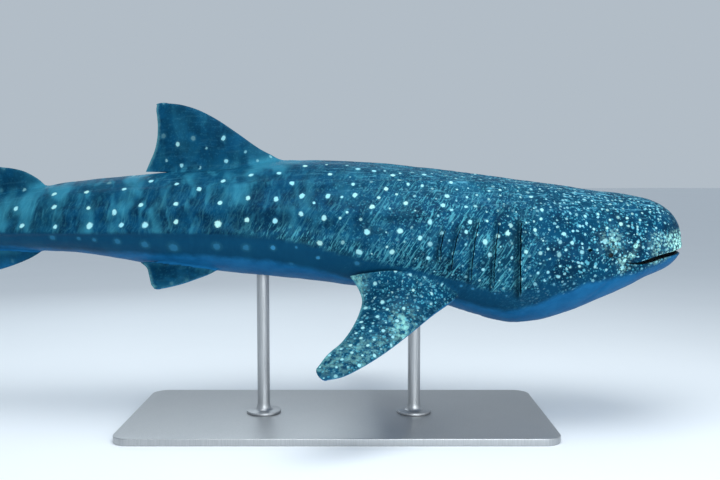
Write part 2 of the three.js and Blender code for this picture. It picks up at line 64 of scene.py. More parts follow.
RIDGES = np.array([  # station, angle of the upper and middle ridge, heights: upper, middle, lower, back
    (56, 38, 64, 0, 0, 0, 0), (700, 30, 54, 0, 0, 0, 4), (1150, 21, 49, 5, 8, 0, 9), (1500, 28, 58, 14, 17, 0, 12),
    (2050, 40, 69, 19, 21, 8, 14), (2700, 47, 71, 19, 21, 21, 10), (3700, 46, 69, 15, 19, 25, 6), (4500, 45, 68, 7, 11, 30, 5),
    (5000, 45, 68, 0, 3, 46, 3), (5450, 45, 68, 0, 0, 70, 0), (5780, 45, 68, 0, 0, 40, 0), (6150, 45, 68, 0, 0, 0, 0)], float)
RIDGE_WIDTH = 34.0
GILLS = [(1268, 1262, 134, -392), (1416, 1450, 132, -338), (1548, 1602, 150, -286), (1668, 1738, 112, -214), (1776, 1806, 84, -150)]


def curve(xs, ys):
    """Smooth curve through a table that keeps to its rises and falls, as in the solids."""
    xs, ys = np.asarray(xs, float), np.asarray(ys, float)
    h = np.diff(xs)
    d = np.diff(ys) / h
    m = np.zeros(len(xs))
    m[0], m[-1] = d[0], d[-1]
    for k in range(1, len(xs) - 1):
        if d[k - 1] * d[k] > 0:
            wa, wb = 2 * h[k] + h[k - 1], h[k] + 2 * h[k - 1]
            m[k] = (wa + wb) / (wa / d[k - 1] + wb / d[k])

    def f(s):
        s = np.clip(np.asarray(s, float), xs[0], xs[-1])
        i = np.clip(np.searchsorted(xs, s, side="right") - 1, 0, len(h) - 1)
        t = (s - xs[i]) / h[i]
        return (ys[i] * (1 + 2 * t) * (1 - t) ** 2 + m[i] * h[i] * t * (1 - t) ** 2
                + ys[i + 1] * t * t * (3 - 2 * t) + m[i + 1] * h[i] * t * t * (t - 1))
    return f


BACK, BELLY, HALF, LEVEL = (curve(PROFILE[:, 0], PROFILE[:, k]) for k in (1, 2, 3, 4))
UP, DOWN = (curve(FULLNESS[:, 0], FULLNESS[:, k]) for k in (1, 2))
R_UP, R_MID, H_UP, H_MID, H_LOW, H_BACK = (curve(RIDGES[:, 0], RIDGES[:, k]) for k in range(1, 7))


def blunt(s, n):
    u = np.clip((s - SNOUT) / BLUNT_LENGTH, 0, 1)
    return (1 - (1 - u) ** n) ** (1 / n)


def lip(s):
    return -55.0 - 0.06 * s - 0.00028 * s * s


def gape(s):
    return GAPE * (1 - np.clip((s - 300) / (CORNER - 300), 0, 1) ** 2.2)


def frame_sizes(s):
    level = LEVEL(s)
    return level, HALF(s) * blunt(s, BLUNT_PLAN), (BACK(s) - level) * blunt(s, BLUNT_BACK), (level - BELLY(s)) * blunt(s, BLUNT_CHIN)


def ridge_height(s, phi, size):
    bump = lambda deg, height, w=RIDGE_WIDTH: height * np.exp(-((phi - np.radians(deg)) * size / w) ** 2)
    return bump(R_UP(s), H_UP(s)) + bump(R_MID(s), H_MID(s)) + bump(90.0, H_LOW(s)) + bump(0.0, H_BACK(s))


def body_yz(s, phi, grow=0.0):
    """Half section of the body: phi is 0 on the back, 90 degrees at the side, 180 on the belly."""
    s, phi = np.broadcast_arrays(np.asarray(s, float), np.asarray(phi, float))
    level, half, rise, drop = frame_sizes(s)
    c, q = np.cos(phi), np.abs(np.sin(phi))
    full = np.where(phi <= np.pi / 2, UP(s), DOWN(s))
    y = half * q ** (2 / full)
    z = np.where(c >= 0, rise, -drop) * np.abs(c) ** (2 / full)
    radius = np.maximum(np.hypot(y, z), 1e-3)
    size = (half + (rise + drop) / 2) / 2
    out = ridge_height(s, phi, size) + grow
    return y * (1 + out / radius), level + z * (1 + out / radius)


def body_angle(s, y, z):
    """The angle of a point, and how far it stands out of the body's surface."""
    level, half, rise, drop = frame_sizes(s)
    half, rise, drop = (np.maximum(v, 1.0) for v in (half, rise, drop))
    up = z >= level
    full = np.where(up, UP(s), DOWN(s))
    q = (np.abs(y) / half) ** (full / 2)
    c = np.where(up, (np.abs(z - level) / rise) ** (full / 2), -(np.abs(z - level) / drop) ** (full / 2))
    phi = np.arctan2(q, c)
    sy, sz = body_yz(s, phi)
    return phi, np.hypot(y, z - level) - np.hypot(sy, sz - level)


def flank(s, z):
    lo, hi = (0.0, np.pi / 2) if z >= LEVEL(s) else (np.pi / 2, np.pi)
    for _ in range(40):
        mid = (lo + hi) / 2
        if body_yz(s, mid)[1] > z:
            lo = mid
        else:
            hi = mid
    return float(body_yz(s, (lo + hi) / 2)[0])


def swing(s):
    return SWING * np.maximum(0, (s - SWING_START) / (SNOUT + TOTAL - SWING_START)) ** 2


def place(p):
    """Fish space (station, y, z in mm) to the frame in metres."""
    p = np.asarray(p, float)
    s, y, z = p[..., 0], p[..., 1], p[..., 2]
    return np.stack([(SNOUT + TOTAL / 2 - s) / 1000, (y + swing(s)) / 1000 + SIDE_SET, (z + FLOOR) / 1000], -1)


def unplace(p):
    s = SNOUT + TOTAL / 2 - p[..., 0] * 1000
    return s, (p[..., 1] - SIDE_SET) * 1000 - swing(s), p[..., 2] * 1000 - FLOOR


# ------------------------------------------------------------------ camera
camera = bpy.data.cameras.new("camera")
camera.lens, camera.sensor_width = 44.3, 36.0
camera.clip_end = 400
cam = bpy.data.objects.new("camera", camera)
bpy.context.collection.objects.link(cam)
cam.location = (SNOUT / 1000 + 3.5 - 2.325, SIDE_SET - 6.4, 1.35 + 0.4115)
cam.rotation_euler = (math.radians(86.0), 0, 0)
bpy.context.scene.camera = cam
bpy.context.scene.view_settings.view_transform = "Standard"

# ------------------------------------------------------------------ body skin
rng = np.random.default_rng(11)


def new_object(name, verts, faces):
    mesh = bpy.data.meshes.new(name)
    mesh.from_pydata([tuple(v) for v in verts], [], faces)
    mesh.update()
    obj = bpy.data.objects.new(name, mesh)
    bpy.context.collection.objects.link(obj)
    return obj


def tidy(obj, distance=1e-5):
    bm = bmesh.new()
    bm.from_mesh(obj.data)
    bmesh.ops.remove_doubles(bm, verts=bm.verts, dist=distance)
    bmesh.ops.dissolve_degenerate(bm, edges=bm.edges, dist=1e-6)
    bmesh.ops.recalc_face_normals(bm, faces=bm.faces)
    loose = sum(1 for e in bm.edges if not e.is_manifold)
    bm.to_mesh(obj.data)
    bm.free()
    return loose


def grid_faces(base, rows, cols, flip=False):
    f = []
    for j in range(rows - 1):
        for i in range(cols - 1):
            a = base + j * cols + i
            q = (a, a + 1, a + cols + 1, a + cols)
            f.append(q[::-1] if flip else q)
    return f


def stations():
    nose = SNOUT + (260 - SNOUT) * (np.linspace(0, 1, 34) ** 2.2)
    parts = [nose, np.arange(260, 548, 9.0)[1:], [548.0], np.arange(548, 1225, 9.0)[1:], np.arange(1225, 1840, 6.5),
             np.arange(1840, 5400, 24.0)[1:], np.arange(5400, 6150, 16.0)[1:], [6150.0]]
    s = np.unique(np.concatenate(parts))
    keep = [0]
    for i in range(1, len(s)):
        if s[i] - s[keep[-1]] > 0.004:
            keep.append(i)
    return s[keep]


S = stations()
JM = int(np.argmin(np.abs(S - CORNER)))
S[JM] = CORNER
NU, NL, NK = 54, 28, 36


def upper_angles(s):
    marks = [0, 22, 40, 54]      # back, upper ridge, middle ridge, side
    stops = np.stack([np.zeros_like(s), R_UP(s), R_MID(s), np.full_like(s, 90.0)], -1)
    out = np.empty((len(s), NU + 1))
    for i in range(NU + 1):
        k = 0 if i <= 22 else 1 if i <= 40 else 2
        t = (i - marks[k]) / (marks[k + 1] - marks[k])
        out[:, i] = stops[:, k] * (1 - t) + stops[:, k + 1] * t
    return np.radians(out)


def noise_field(s, w, seed, scale, octaves=3):
    """A soft, even unevenness over station and girth, made of turned waves."""
    r = np.random.default_rng(seed)
    total, weight = np.zeros_like(s), 0.0
    for o in range(octaves):
        for _ in range(5):
            a, ph = r.uniform(0, 2 * np.pi), r.uniform(0, 2 * np.pi)
            k = 2 * np.pi / (scale / 1.8 ** o) * r.uniform(0.7, 1.3)
            total += np.sin(k * (np.cos(a) * s + np.sin(a) * w) + ph) / 1.8 ** o
        weight += 5 / 1.8 ** o
    return total / weight * 2


def relief(s, y, z, phi):
    """Folds and swellings of the skin, in mm along its normal."""
    d = np.zeros_like(s)
    ay = np.abs(y)
    level = LEVEL(s)
    # gill flaps: each swells up to its free edge and drops into the slit behind it
    for top, foot, high, low in GILLS:
        t = np.clip((high - z) / (high - low), -0.3, 1.3)
        line = top + (foot - top) * t + 14 * 4 * t * (1 - t)
        env = 1 / (1 + np.exp(-(high + 6 - z) / 7)) / (1 + np.exp(-(z - low + 6) / 7))
        e = s - line
        swell = 11 * np.exp(-(np.minimum(e, 0) / 62) ** 2) * (e <= 0)
        d += env * (swell + (11 - 19 * smoothstep(0, 9, e)) * np.exp(-(np.maximum(e - 9, 0) / 30) ** 2) * (e > 0))
    # the orbit, and a ring fold round the eye
    ey = flank(EYE_S, EYE_Z)
    r = np.sqrt((s - EYE_S) ** 2 + (z - EYE_Z) ** 2 + (ay - ey) ** 2)
    d += 9 * np.exp(-(r / 95) ** 2) - 5 * np.exp(-((r - 48) / 9) ** 2) + 3 * np.exp(-((r - 66) / 13) ** 2)
    # swollen rim of both lips, a furrow above the upper one
    head = (s < 640) & (phi <= np.pi / 2 + 1e-6)
    above = z - lip(np.minimum(s, 640))
    fade = np.clip((600 - s) / 80, 0, 1)
    d += np.where(head, fade * (7 * np.exp(-((above - 14) / 15) ** 2) - 5 * np.exp(-((above - 46) / 10) ** 2)), 0)
    # labial fold and furrow at the corner of the mouth
    cx, cz = s - (CORNER + 2), z - float(lip(CORNER))
    ring = np.hypot(cx, cz * 1.15)
    near = np.exp(-((ay - ey) / 60) ** 2)
    d += near * (10 * np.exp(-((ring - 30) / 14) ** 2) * (cx > -34) - 8 * np.exp(-((ring - 58) / 8) ** 2) * (cx > -60))
    along = np.abs(cz - 0.75 * (-cx)) / 1.25
    d -= near * 5 * np.exp(-(along / 7) ** 2) * np.exp(-((cx + 70) / 52) ** 2)
    # spiracle pit, cheek and jaw swelling, throat fold
    r = np.sqrt((s - SPIRACLE[0]) ** 2 + (z - SPIRACLE[1]) ** 2)
    d += near * (4 * np.exp(-((r - 26) / 9) ** 2))
    d += 10 * np.exp(-((s - 860) / 190) ** 2 - ((z + 240) / 120) ** 2) * (ay > 250)
    d -= 6 * np.exp(-((s - 560 - 0.9 * (-180 - z)) / 16) ** 2) * (z < -190) * np.exp(-((z + 330) / 130) ** 2)
    # hollow before the upper tail lobe
    d -= 15 * np.exp(-((s - 5462) / 26) ** 2) * np.exp(-(phi / 0.55) ** 2)
    # soft muscle waves, and finer wrinkling behind the head
    w = phi * (HALF(s) + BACK(s) - level) / 2
    d += 2.4 * noise_field(s, w, 3, 420) + 1.0 * noise_field(s * 0.55, w, 5, 90)
    crease = np.exp(-((s - 1520) / 420) ** 2)
    d += 1.6 * crease * noise_field(s * 1.6 + w * 0.5, w * 0.35, 8, 70)
    edge = np.clip((s - SNOUT - 10) / 60, 0, 1) * np.clip((6050 - s) / 120, 0, 1)
    return d * edge


def body_skin():
    """The whole body with its open mouth, as one closed surface."""
    n = len(S)
    phi_u = upper_angles(S)
    ys, zs = body_yz(S[:, None], phi_u)
    up = np.stack([np.broadcast_to(S[:, None], ys.shape), ys, zs], -1)          # back to lip, left side
    # the lower half starts at the lower lip, a gape below the upper one
    s_low0 = SNOUT + 13.2
    sl = S.copy()
    sl[:JM + 1] = s_low0 + (S[:JM + 1] - SNOUT) * (CORNER - s_low0) / (CORNER - SNOUT)
    level, half, rise, drop = frame_sizes(sl)
    ratio = np.where(sl <= CORNER, np.clip(gape(sl) / np.maximum(drop, 1e-6), 0, 1), 0.0)
    ratio[0] = 1.0
    phi_l0 = np.pi / 2 + np.arcsin(np.clip(ratio ** (DOWN(sl) / 2), 0, 1))
    v = np.linspace(0, 1, NL + 1)[None, :]
    phi_l = phi_l0[:, None] + (np.pi - phi_l0[:, None]) * v
    yl, zl = body_yz(sl[:, None], phi_l)
    lo = np.stack([np.broadcast_to(sl[:, None], yl.shape), yl, zl], -1)          # lip to belly, left side
    lo[JM:, 0] = up[JM:, NU]

    def displaced(p, phi):
        d = relief(p[..., 0], p[..., 1], p[..., 2], phi)
        du = np.gradient(p, axis=1)
        dv = np.gradient(p, axis=0)
        nrm = np.cross(dv, du)
        nrm /= np.maximum(np.linalg.norm(nrm, axis=-1, keepdims=True), 1e-9)
        outward = p - np.stack([p[..., 0], np.zeros_like(p[..., 1]), LEVEL(p[..., 0])], -1)
        flip = np.sign((nrm * outward).sum(-1, keepdims=True))
        flip[flip == 0] = 1
        q = p + nrm * flip * d[..., None]
        q[:, 0 if phi[5, 0] < 0.1 else -1, 1] = 0
        q[..., 1] = np.maximum(q[..., 1], 0)
        return q
    up_d, lo_d = displaced(up, phi_u), displaced(lo, phi_l)
    up_d[0], lo_d[0] = up[0], lo[0]
    lo_d[JM:, 0] = up_d[JM:, NU]
    mirror = np.array([1, -1, 1])
    upper = np.concatenate([up_d[:, ::-1], up_d[:, 1:] * mirror], 1)             # left lip over the back to right lip
    lower = np.concatenate([lo_d, lo_d[:, ::-1][:, 1:] * mirror], 1)             # left lip under the belly to right lip

    # mouth lining: palate and floor, rounded over at the lips
    t = np.linspace(-1, 1, NK + 1)
    across = -np.sin(np.pi / 2 * t)
    t0 = across[None, :]

    def lining(edge, sign):
        s = edge[:JM + 1, 0][:, None] * np.ones_like(t0)
        y = edge[:JM + 1, 1][:, None] * t0
        z = edge[:JM + 1, 2][:, None] * np.ones_like(t0)
        h = np.maximum(HALF(s), 1)
        u = np.clip((s - s.min() * 1.0) / BLUNT_LENGTH, 0, 1)
        g = ((np.abs(y) / h) ** 2.8 + (1 - u) ** 2.8) ** (1 / 2.8)
        e = np.clip(1 - g, 0, 1) * 430
        roof = np.interp(e, [0, 3, 8, 15, 24, 42, 80, 150, 300], [0, -4.5, -8.5, -9, -3, 16, 44, 62, 66])
        taper = np.clip((CORNER - s) / 70, 0, 1)
        taper = taper * taper * (3 - 2 * taper)
        z = z + sign * roof * taper
        p = np.stack([s, y, z], -1)
        p[:, 0], p[:, -1] = edge[:JM + 1], edge[:JM + 1] * mirror
        return p
    palate = lining(up_d[:, NU], 1)
    floor = lining(lo_d[:, 0], -1)
    palate[JM, 1:-1, 2] = floor[JM, 1:-1, 2] = up_d[JM, NU, 2]
    floor[JM] = palate[JM]

    verts, faces = [], []
    for p, flip in ((upper, False), (lower, True), (palate, True), (floor, False)):
        base = sum(len(q) for q in verts)
        verts.append(p.reshape(-1, 3))
        faces += grid_faces(base, p.shape[0], p.shape[1], flip)
    # the blunt end inside the tail fin
    base = sum(len(q) for q in verts)
    end = np.concatenate([upper[-1], lower[-1][1:-1][::-1]], 0)
    verts.append(end)
    verts.append(end.mean(0, keepdims=True))
    k = len(end)
    faces += [(base + i, base + (i + 1) % k, base + k) for i in range(k)]
    obj = new_object("skin", place(np.concatenate(verts)), faces)
    loose = tidy(obj)
    print("body skin", len(obj.data.vertices), "vertices,", loose, "open edges")
    return obj


# ------------------------------------------------------------------ fins
FINS = {
    "dorsal_fin_first": dict(
        lead=[(2760, 0, 452), (2890, 0, 540), (3044, 0, 620), (3208, 0, 735), (3360, 0, 836), (3490, 0, 901), (3610, 0, 936), (3700, 0, 946)],
        trail=[(3868, 0, 456), (3836, 0, 530), (3803, 0, 604), (3783, 0, 690), (3776, 0, 784), (3781, 0, 856), (3785, 0, 902), (3780, 0, 932)],
        thick=[136, 92, 70, 56, 46, 38, 30, 20]),
    "dorsal_fin_second": dict(
        lead=[(4500, 0, 262), (4590, 0, 352), (4667, 0, 412), (4759, 0, 460), (4850, 0, 482), (4925, 0, 490)],
        trail=[(5112, 0, 296), (5052, 0, 338), (5012, 0, 384), (4990, 0, 430), (4984, 0, 464), (4972, 0, 482)],
        thick=[64, 48, 36, 28, 22, 14]),
    "anal_fin": dict(
        lead=[(4560, 0, -60), (4640, 0, -122), (4722, 0, -168), (4830, 0, -214), (4938, 0, -250), (5010, 0, -266)],
        trail=[(5150, 0, -104), (5096, 0, -134), (5066, 0, -168), (5050, 0, -206), (5052, 0, -240), (5044, 0, -260)],
        thick=[60, 44, 34, 27, 21, 14]),
    "tail_fin_upper_lobe": dict(
        lead=[(5440, 0, 150), (5520, 0, 252), (5760, 0, 372), (6040, 0, 560), (6340, 0, 766), (6620, 0, 950), (6860, 0, 1098), (7022, 0, 1196)],
        trail=[(5900, 0, 40), (6096, 0, 150), (6214, 0, 236), (6400, 0, 382), (6600, 0, 590), (6790, 0, 824), (6944, 0, 1010), (7056, 0, 1176)],
        thick=[150, 138, 112, 88, 66, 46, 30, 14]),
    "tail_fin_lower_lobe": dict(
        lead=[(5560, 0, 120), (5590, 0, -30), (5680, 0, -170), (5800, 0, -320), (5930, 0, -470), (6060, 0, -600), (6160, 0, -690)],
        trail=[(6120, 0, 190), (6036, 0, 92), (6024, 0, -40), (6060, 0, -200), (6110, 0, -380), (6166, 0, -550), (6196, 0, -676)],
        thick=[120, 104, 82, 62, 46, 32, 14]),
}
PECTORAL = dict(
    lead=[(1600, 330, -330), (1690, 492, -402), (1850, 608, -495), (2016, 758, -598), (2170, 893, -686), (2310, 1000, -752), (2430, 1070, -797), (2522, 1096, -812)],
    trail=[(2392, 436, -252), (2340, 452, -328), (2312, 494, -404), (2330, 590, -480), (2386, 723, -574), (2450, 822, -640), (2530, 910, -696), (2588, 1004, -756)],
    bow=[(0, 112, 48), (0, 46, 26), (0, 20, 16), (0, 8, 8), (0, 4, 4), (0, 0, 0), (0, 0, 0), (0, 0, 0)],
    thick=[122, 104, 88, 74, 60, 48, 38, 24])
PELVIC = dict(
    lead=[(3250, 120, -190), (3352, 190, -250), (3450, 235, -286), (3548, 278, -318), (3640, 318, -338), (3692, 340, -346)],
    trail=[(3872, 176, -184), (3826, 200, -216), (3800, 246, -262), (3780, 290, -300), (3764, 322, -326), (3742, 344, -342)],
    bow=[(0, 34, 6), (0, 18, 2), (0, 8, 0), (0, 4, 0), (0, 0, 0), (0, 0, 0)],
    thick=[60, 44, 34, 27, 21, 14])


def carried_forward(fin, degrees, pivot=(1800, 480)):
    a = math.radians(degrees)
    turn = lambda p: (pivot[0] + (p[0] - pivot[0]) * math.cos(a) - (p[1] - pivot[1]) * math.sin(a),
                      pivot[1] + (p[0] - pivot[0]) * math.sin(a) + (p[1] - pivot[1]) * math.cos(a), p[2])
    return {**fin, "lead": [turn(p) for p in fin["lead"]], "trail": [turn(p) for p in fin["trail"]]}


LEFT_FORWARD = 25.0
FINS["pectoral_fin_left"] = carried_forward(PECTORAL, LEFT_FORWARD)
FINS["pectoral_fin_right"] = {**PECTORAL, "side": -1}
FINS["pelvic_fin_left"] = PELVIC
FINS["pelvic_fin_right"] = {**PELVIC, "side": -1}


def spline(points, t):
    """Centripetal Catmull-Rom through the points, as the solids' fin edges."""
    p = np.asarray(points, float)
    n = len(p)
    x = t * (n - 1)
    k = min(int(math.floor(x)), n - 2)
    w = x - k
    p1, p2 = p[k], p[k + 1]
    p0 = p[k - 1] if k > 0 else 2 * p[0] - p[1]
    p3 = p[k + 2] if k + 2 < n else 2 * p[-1] - p[-2]
    d0, d1, d2 = (max(np.linalg.norm(a - b) ** 0.5, 1e-4) for a, b in ((p0, p1), (p1, p2), (p2, p3)))
    if np.linalg.norm(p2 - p1) < 1e-9:
        return p1.copy()
    if d0 < 1e-3:
        d0 = d1
    if d2 < 1e-3:
        d2 = d1
    t1 = ((p1 - p0) / d0 - (p2 - p0) / (d0 + d1) + (p2 - p1) / d1) * d1
    t2 = ((p2 - p1) / d1 - (p3 - p1) / (d1 + d2) + (p3 - p2) / d2) * d1
    return p1 + w * t1 + w * w * (-3 * p1 + 3 * p2 - 2 * t1 - t2) + w ** 3 * (2 * p1 - 2 * p2 + t1 + t2)


def fin_skin(name, fin, levels, chords):
    side = fin.get("side", 1)
    marks = len(fin["lead"]) - 1
    ts = np.linspace(0, 1, levels)
    c = 0.5 * (1 - np.cos(np.pi * np.linspace(0, 1, chords + 1)))
    c = c ** 1.15
    foil = 5 * (0.2969 * np.sqrt(c) - 0.126 * c - 0.3516 * c ** 2 + 0.2843 * c ** 3 - 0.1036 * c ** 4)
    loops = []
    thick_of = curve(np.arange(marks + 1), fin["thick"])
    for t in ts:
        a, b = spline(fin["lead"], t), spline(fin["trail"], t)
        t0, t1 = max(0, t - 0.01), min(1, t + 0.01)
        span = spline(fin["lead"], t1) + spline(fin["trail"], t1) - spline(fin["lead"], t0) - spline(fin["trail"], t0)
        chord = b - a
        normal = np.cross(chord, span)
        normal /= np.linalg.norm(normal)
        thick = float(thick_of(t * marks))
        bow = spline(fin["bow"], t) if "bow" in fin else np.zeros(3)
        # a softly frayed, uneven trailing edge
        mid = a + c[:, None] * chord + (4 * c * (1 - c))[:, None] * bow
        wave = 1.2 * math.sin(t * 23 + 1.3) + 0.8 * math.sin(t * 51)
        ripple = normal * ((c ** 3) * wave * min(1, t * 4) * min(1, (1 - t) * 6))[:, None]
        out = thick * foil + 3.2 * np.sqrt(np.clip(c, 0, 1)) * np.clip((1.0 - c) / 0.02 + 0.55, 0, 1)
        top = mid + ripple + normal * out[:, None]
        low = mid + ripple - normal * out[:, None]
        loops.append((np.concatenate([top, low[::-1][:-1]]), a, b, span / np.linalg.norm(span)))
    rings = [l[0] for l in loops]
    last, a, b, span = loops[-1]
    centre = (a + b) / 2
    reach = np.linalg.norm(b - a) * 0.25
    for k in range(1, 6):
        th = k / 6 * np.pi / 2
        rings.append(centre + (last - centre) * math.cos(th) + span * reach * math.sin(th))
    m = len(rings[0])
    rings = np.array(rings)
    tip = centre + span * reach
    root = rings[0].mean(0)
    verts = np.concatenate([rings.reshape(-1, 3), [tip], [root]]) * np.array([1, side, 1])
    faces = []
    r = len(rings)
    for j in range(r - 1):
        for i in range(m):
            p, q = j * m + i, j * m + (i + 1) % m
            faces.append((p, q, q + m, p + m))
    faces += [(r * m, (r - 1) * m + (i + 1) % m, (r - 1) * m + i) for i in range(m)]
    faces += [(r * m + 1, i, (i + 1) % m) for i in range(m)]
    obj = new_object(name + "_skin", place(verts), faces)
    loose = tidy(obj)
    if loose:
        print(name, "open edges", loose)
    return obj


def ball(name, s, y, z, rx, ry, rz, rings=16, segs=24, tilt=None):
    bm = bmesh.new()
    bmesh.ops.create_uvsphere(bm, u_segments=segs, v_segments=rings, radius=1)
    c = place(np.array([s, y, z]))
    for v in bm.verts:
        p = Vector((v.co.x * rx, v.co.y * ry, v.co.z * rz)) / 1000
        if tilt is not None:
            p = tilt @ p
        v.co = p + Vector(c)
    mesh = bpy.data.meshes.new(name)
    bm.to_mesh(mesh)
    bm.free()
    obj = bpy.data.objects.new(name, mesh)
    bpy.context.collection.objects.link(obj)
    return obj


def boolean(obj, others, how):
    """Joins or cuts with closed pieces and removes them."""
    for other in others:
        m = obj.modifiers.new("b", "BOOLEAN")
        m.operation, m.object, m.solver = how, other, "MANIFOLD"
        dg = bpy.context.evaluated_depsgraph_get()
        out = bpy.data.meshes.new_from_object(obj.evaluated_get(dg))
        obj.modifiers.clear()
        old = obj.data
        obj.data = out
        bpy.data.meshes.remove(old)
        bpy.data.objects.remove(other)


def positions(mesh):
    p = np.empty(len(mesh.vertices) * 3)
    mesh.vertices.foreach_get("co", p)
    return p.reshape(-1, 3)


def smoothstep(a, b, x):
    t = np.clip((np.asarray(x, float) - a) / (b - a), 0, 1)
    return t * t * (3 - 2 * t)


def set_positions(mesh, p):
    mesh.vertices.foreach_set("co", np.ascontiguousarray(p, np.float32).ravel())
    mesh.update()


def soften(mesh, weight, rounds, keep=0.0):
    """Evens out the surface where the weight is above nought."""
    n = len(mesh.vertices)
    e = np.empty(len(mesh.edges) * 2, np.int64)
    mesh.edges.foreach_get("vertices", e)
    e = e.reshape(-1, 2)
    a, b = np.concatenate([e[:, 0], e[:, 1]]), np.concatenate([e[:, 1], e[:, 0]])
    count = np.bincount(a, minlength=n)[:, None]
    p = positions(mesh)
    for k in range(rounds):
        mean = np.stack([np.bincount(a, p[b, i], minlength=n) for i in range(3)], 1) / count
        p = p + (0.55 if (k % 2 == 0 or not keep) else -keep) * weight[:, None] * (mean - p)
    set_positions(mesh, p)


def fill_tree(points):
    tree = kdtree.KDTree(len(points))
    for i, p in enumerate(points):
        tree.insert(p, i)
    tree.balance()
    return tree


def blend_seams(obj, old, reach, rounds):
    """Rounds the joints of the fins into the body: they run where the union made new vertices."""
    p = positions(obj.data)
    known = {tuple(v) for v in np.round(old * 20000).astype(int)}
    fresh = np.array([tuple(v) not in known for v in np.round(p * 20000).astype(int)])
    seam = p[fresh]
    tree = fill_tree(seam)
    lo, hi = seam.min(0) - reach, seam.max(0) + reach
    near = np.nonzero(((p > lo) & (p < hi)).all(1))[0]
    w = np.zeros(len(p))
    for i in near:
        w[i] = max(0.0, 1 - tree.find(p[i])[2] / reach)
    soften(obj.data, w * w * (3 - 2 * w), rounds)
    return len(seam)


def gill_blade(slit, side):
    """A thin bowed leaf that opens one gill slit, leaning forward under its flap."""
    top, foot, high, low = slit
    line = []
    for way in (1, -1):
        for k in range(25):
            t = k / 24 if way > 0 else 1 - k / 24
            if way < 0 and k in (0, 24):
                continue
            s = top + (foot - top) * t + 14 * 4 * t * (1 - t)
            width = (4.8 if top < 1300 else 3.4) * math.sqrt(max(0.0, 4 * t * (1 - t))) ** 0.6
            wave = 1.6 * math.sin(t * 17 + top) + 0.9 * math.sin(t * 41 + foot)
            line.append((s + way * width + wave, high - 4 + (low - high + 10) * t))
    inner = min(flank(top, high), flank((top + foot) / 2, (high + low) / 2), flank(foot, low)) - 44
    rings = []
    for y, lean in ((inner, -34), (inner + 30, -18), (760, 0)):
        rings.append(np.array([(s + lean * 1.0, y * side, z) for s, z in line]))
    n = len(line)
    verts = np.concatenate(rings)
    faces = [tuple(range(n)), tuple(range(3 * n - 1, 2 * n - 1, -1))]
    for r in (0, 1):
        faces += [(r * n + (i + 1) % n, r * n + i, (r + 1) * n + i, (r + 1) * n + (i + 1) % n) for i in range(n)]
    obj = new_object("blade", place(verts), faces)
    tidy(obj)
    return obj


def build_skin():
    skin = body_skin()
    fins = []
    for name, fin in FINS.items():
        large = name.startswith(("dorsal_fin_first", "pectoral", "tail"))
        fins.append(fin_skin(name, fin, 60 if large else 40, 23 if large else 18))
    old = np.concatenate([positions(o.data) for o in [skin] + fins])
    boolean(skin, fins, "UNION")
    seams = blend_seams(skin, old, 0.075, 14)
    ey = flank(EYE_S, EYE_Z)
    cuts = []
    for side in (1, -1):
        cuts += [gill_blade(g, side) for g in GILLS]
        cuts.append(ball("socket", EYE_S, side * (ey + EYE_OUT - EYE_R), EYE_Z, EYE_R + 1.2, EYE_R + 1.2, EYE_R + 1.2, 24, 40))
        cuts.append(ball("hole", SPIRACLE[0], side * flank(*SPIRACLE[:2]), SPIRACLE[1], 15, 26, 11, 16, 28))
        cuts.append(ball("nostril", 84, side * 238, -50, 26, 30, 9, 14, 24))
    boolean(skin, cuts, "DIFFERENCE")
    bm = bmesh.new()
    bm.from_mesh(skin.data)
    bmesh.ops.dissolve_degenerate(bm, edges=bm.edges, dist=2e-5)
    # any crumb that a cut left loose goes
    left = set(bm.verts)
    islands = []
    while left:
        seed = left.pop()
        group, stack = [seed], [seed]
        while stack:
            for e in stack.pop().link_edges:
                for v in e.verts:
                    if v in left:
                        left.discard(v)
                        group.append(v)
                        stack.append(v)
        islands.append(group)
    islands.sort(key=len, reverse=True)
    for group in islands[1:]:
        bmesh.ops.delete(bm, geom=group, context="VERTS")
    bad = sum(1 for e in bm.edges if not e.is_manifold)
    bm.to_mesh(skin.data)
    bm.free()
    skin.data.polygons.foreach_set("use_smooth", np.ones(len(skin.data.polygons), bool))
    skin.data.set_sharp_from_angle(angle=math.radians(48))
    print("skin", len(skin.data.vertices), "vertices", len(skin.data.polygons), "faces; islands", [len(g) for g in islands][:6],
          "open edges", bad, "seam", seams)
    return skin


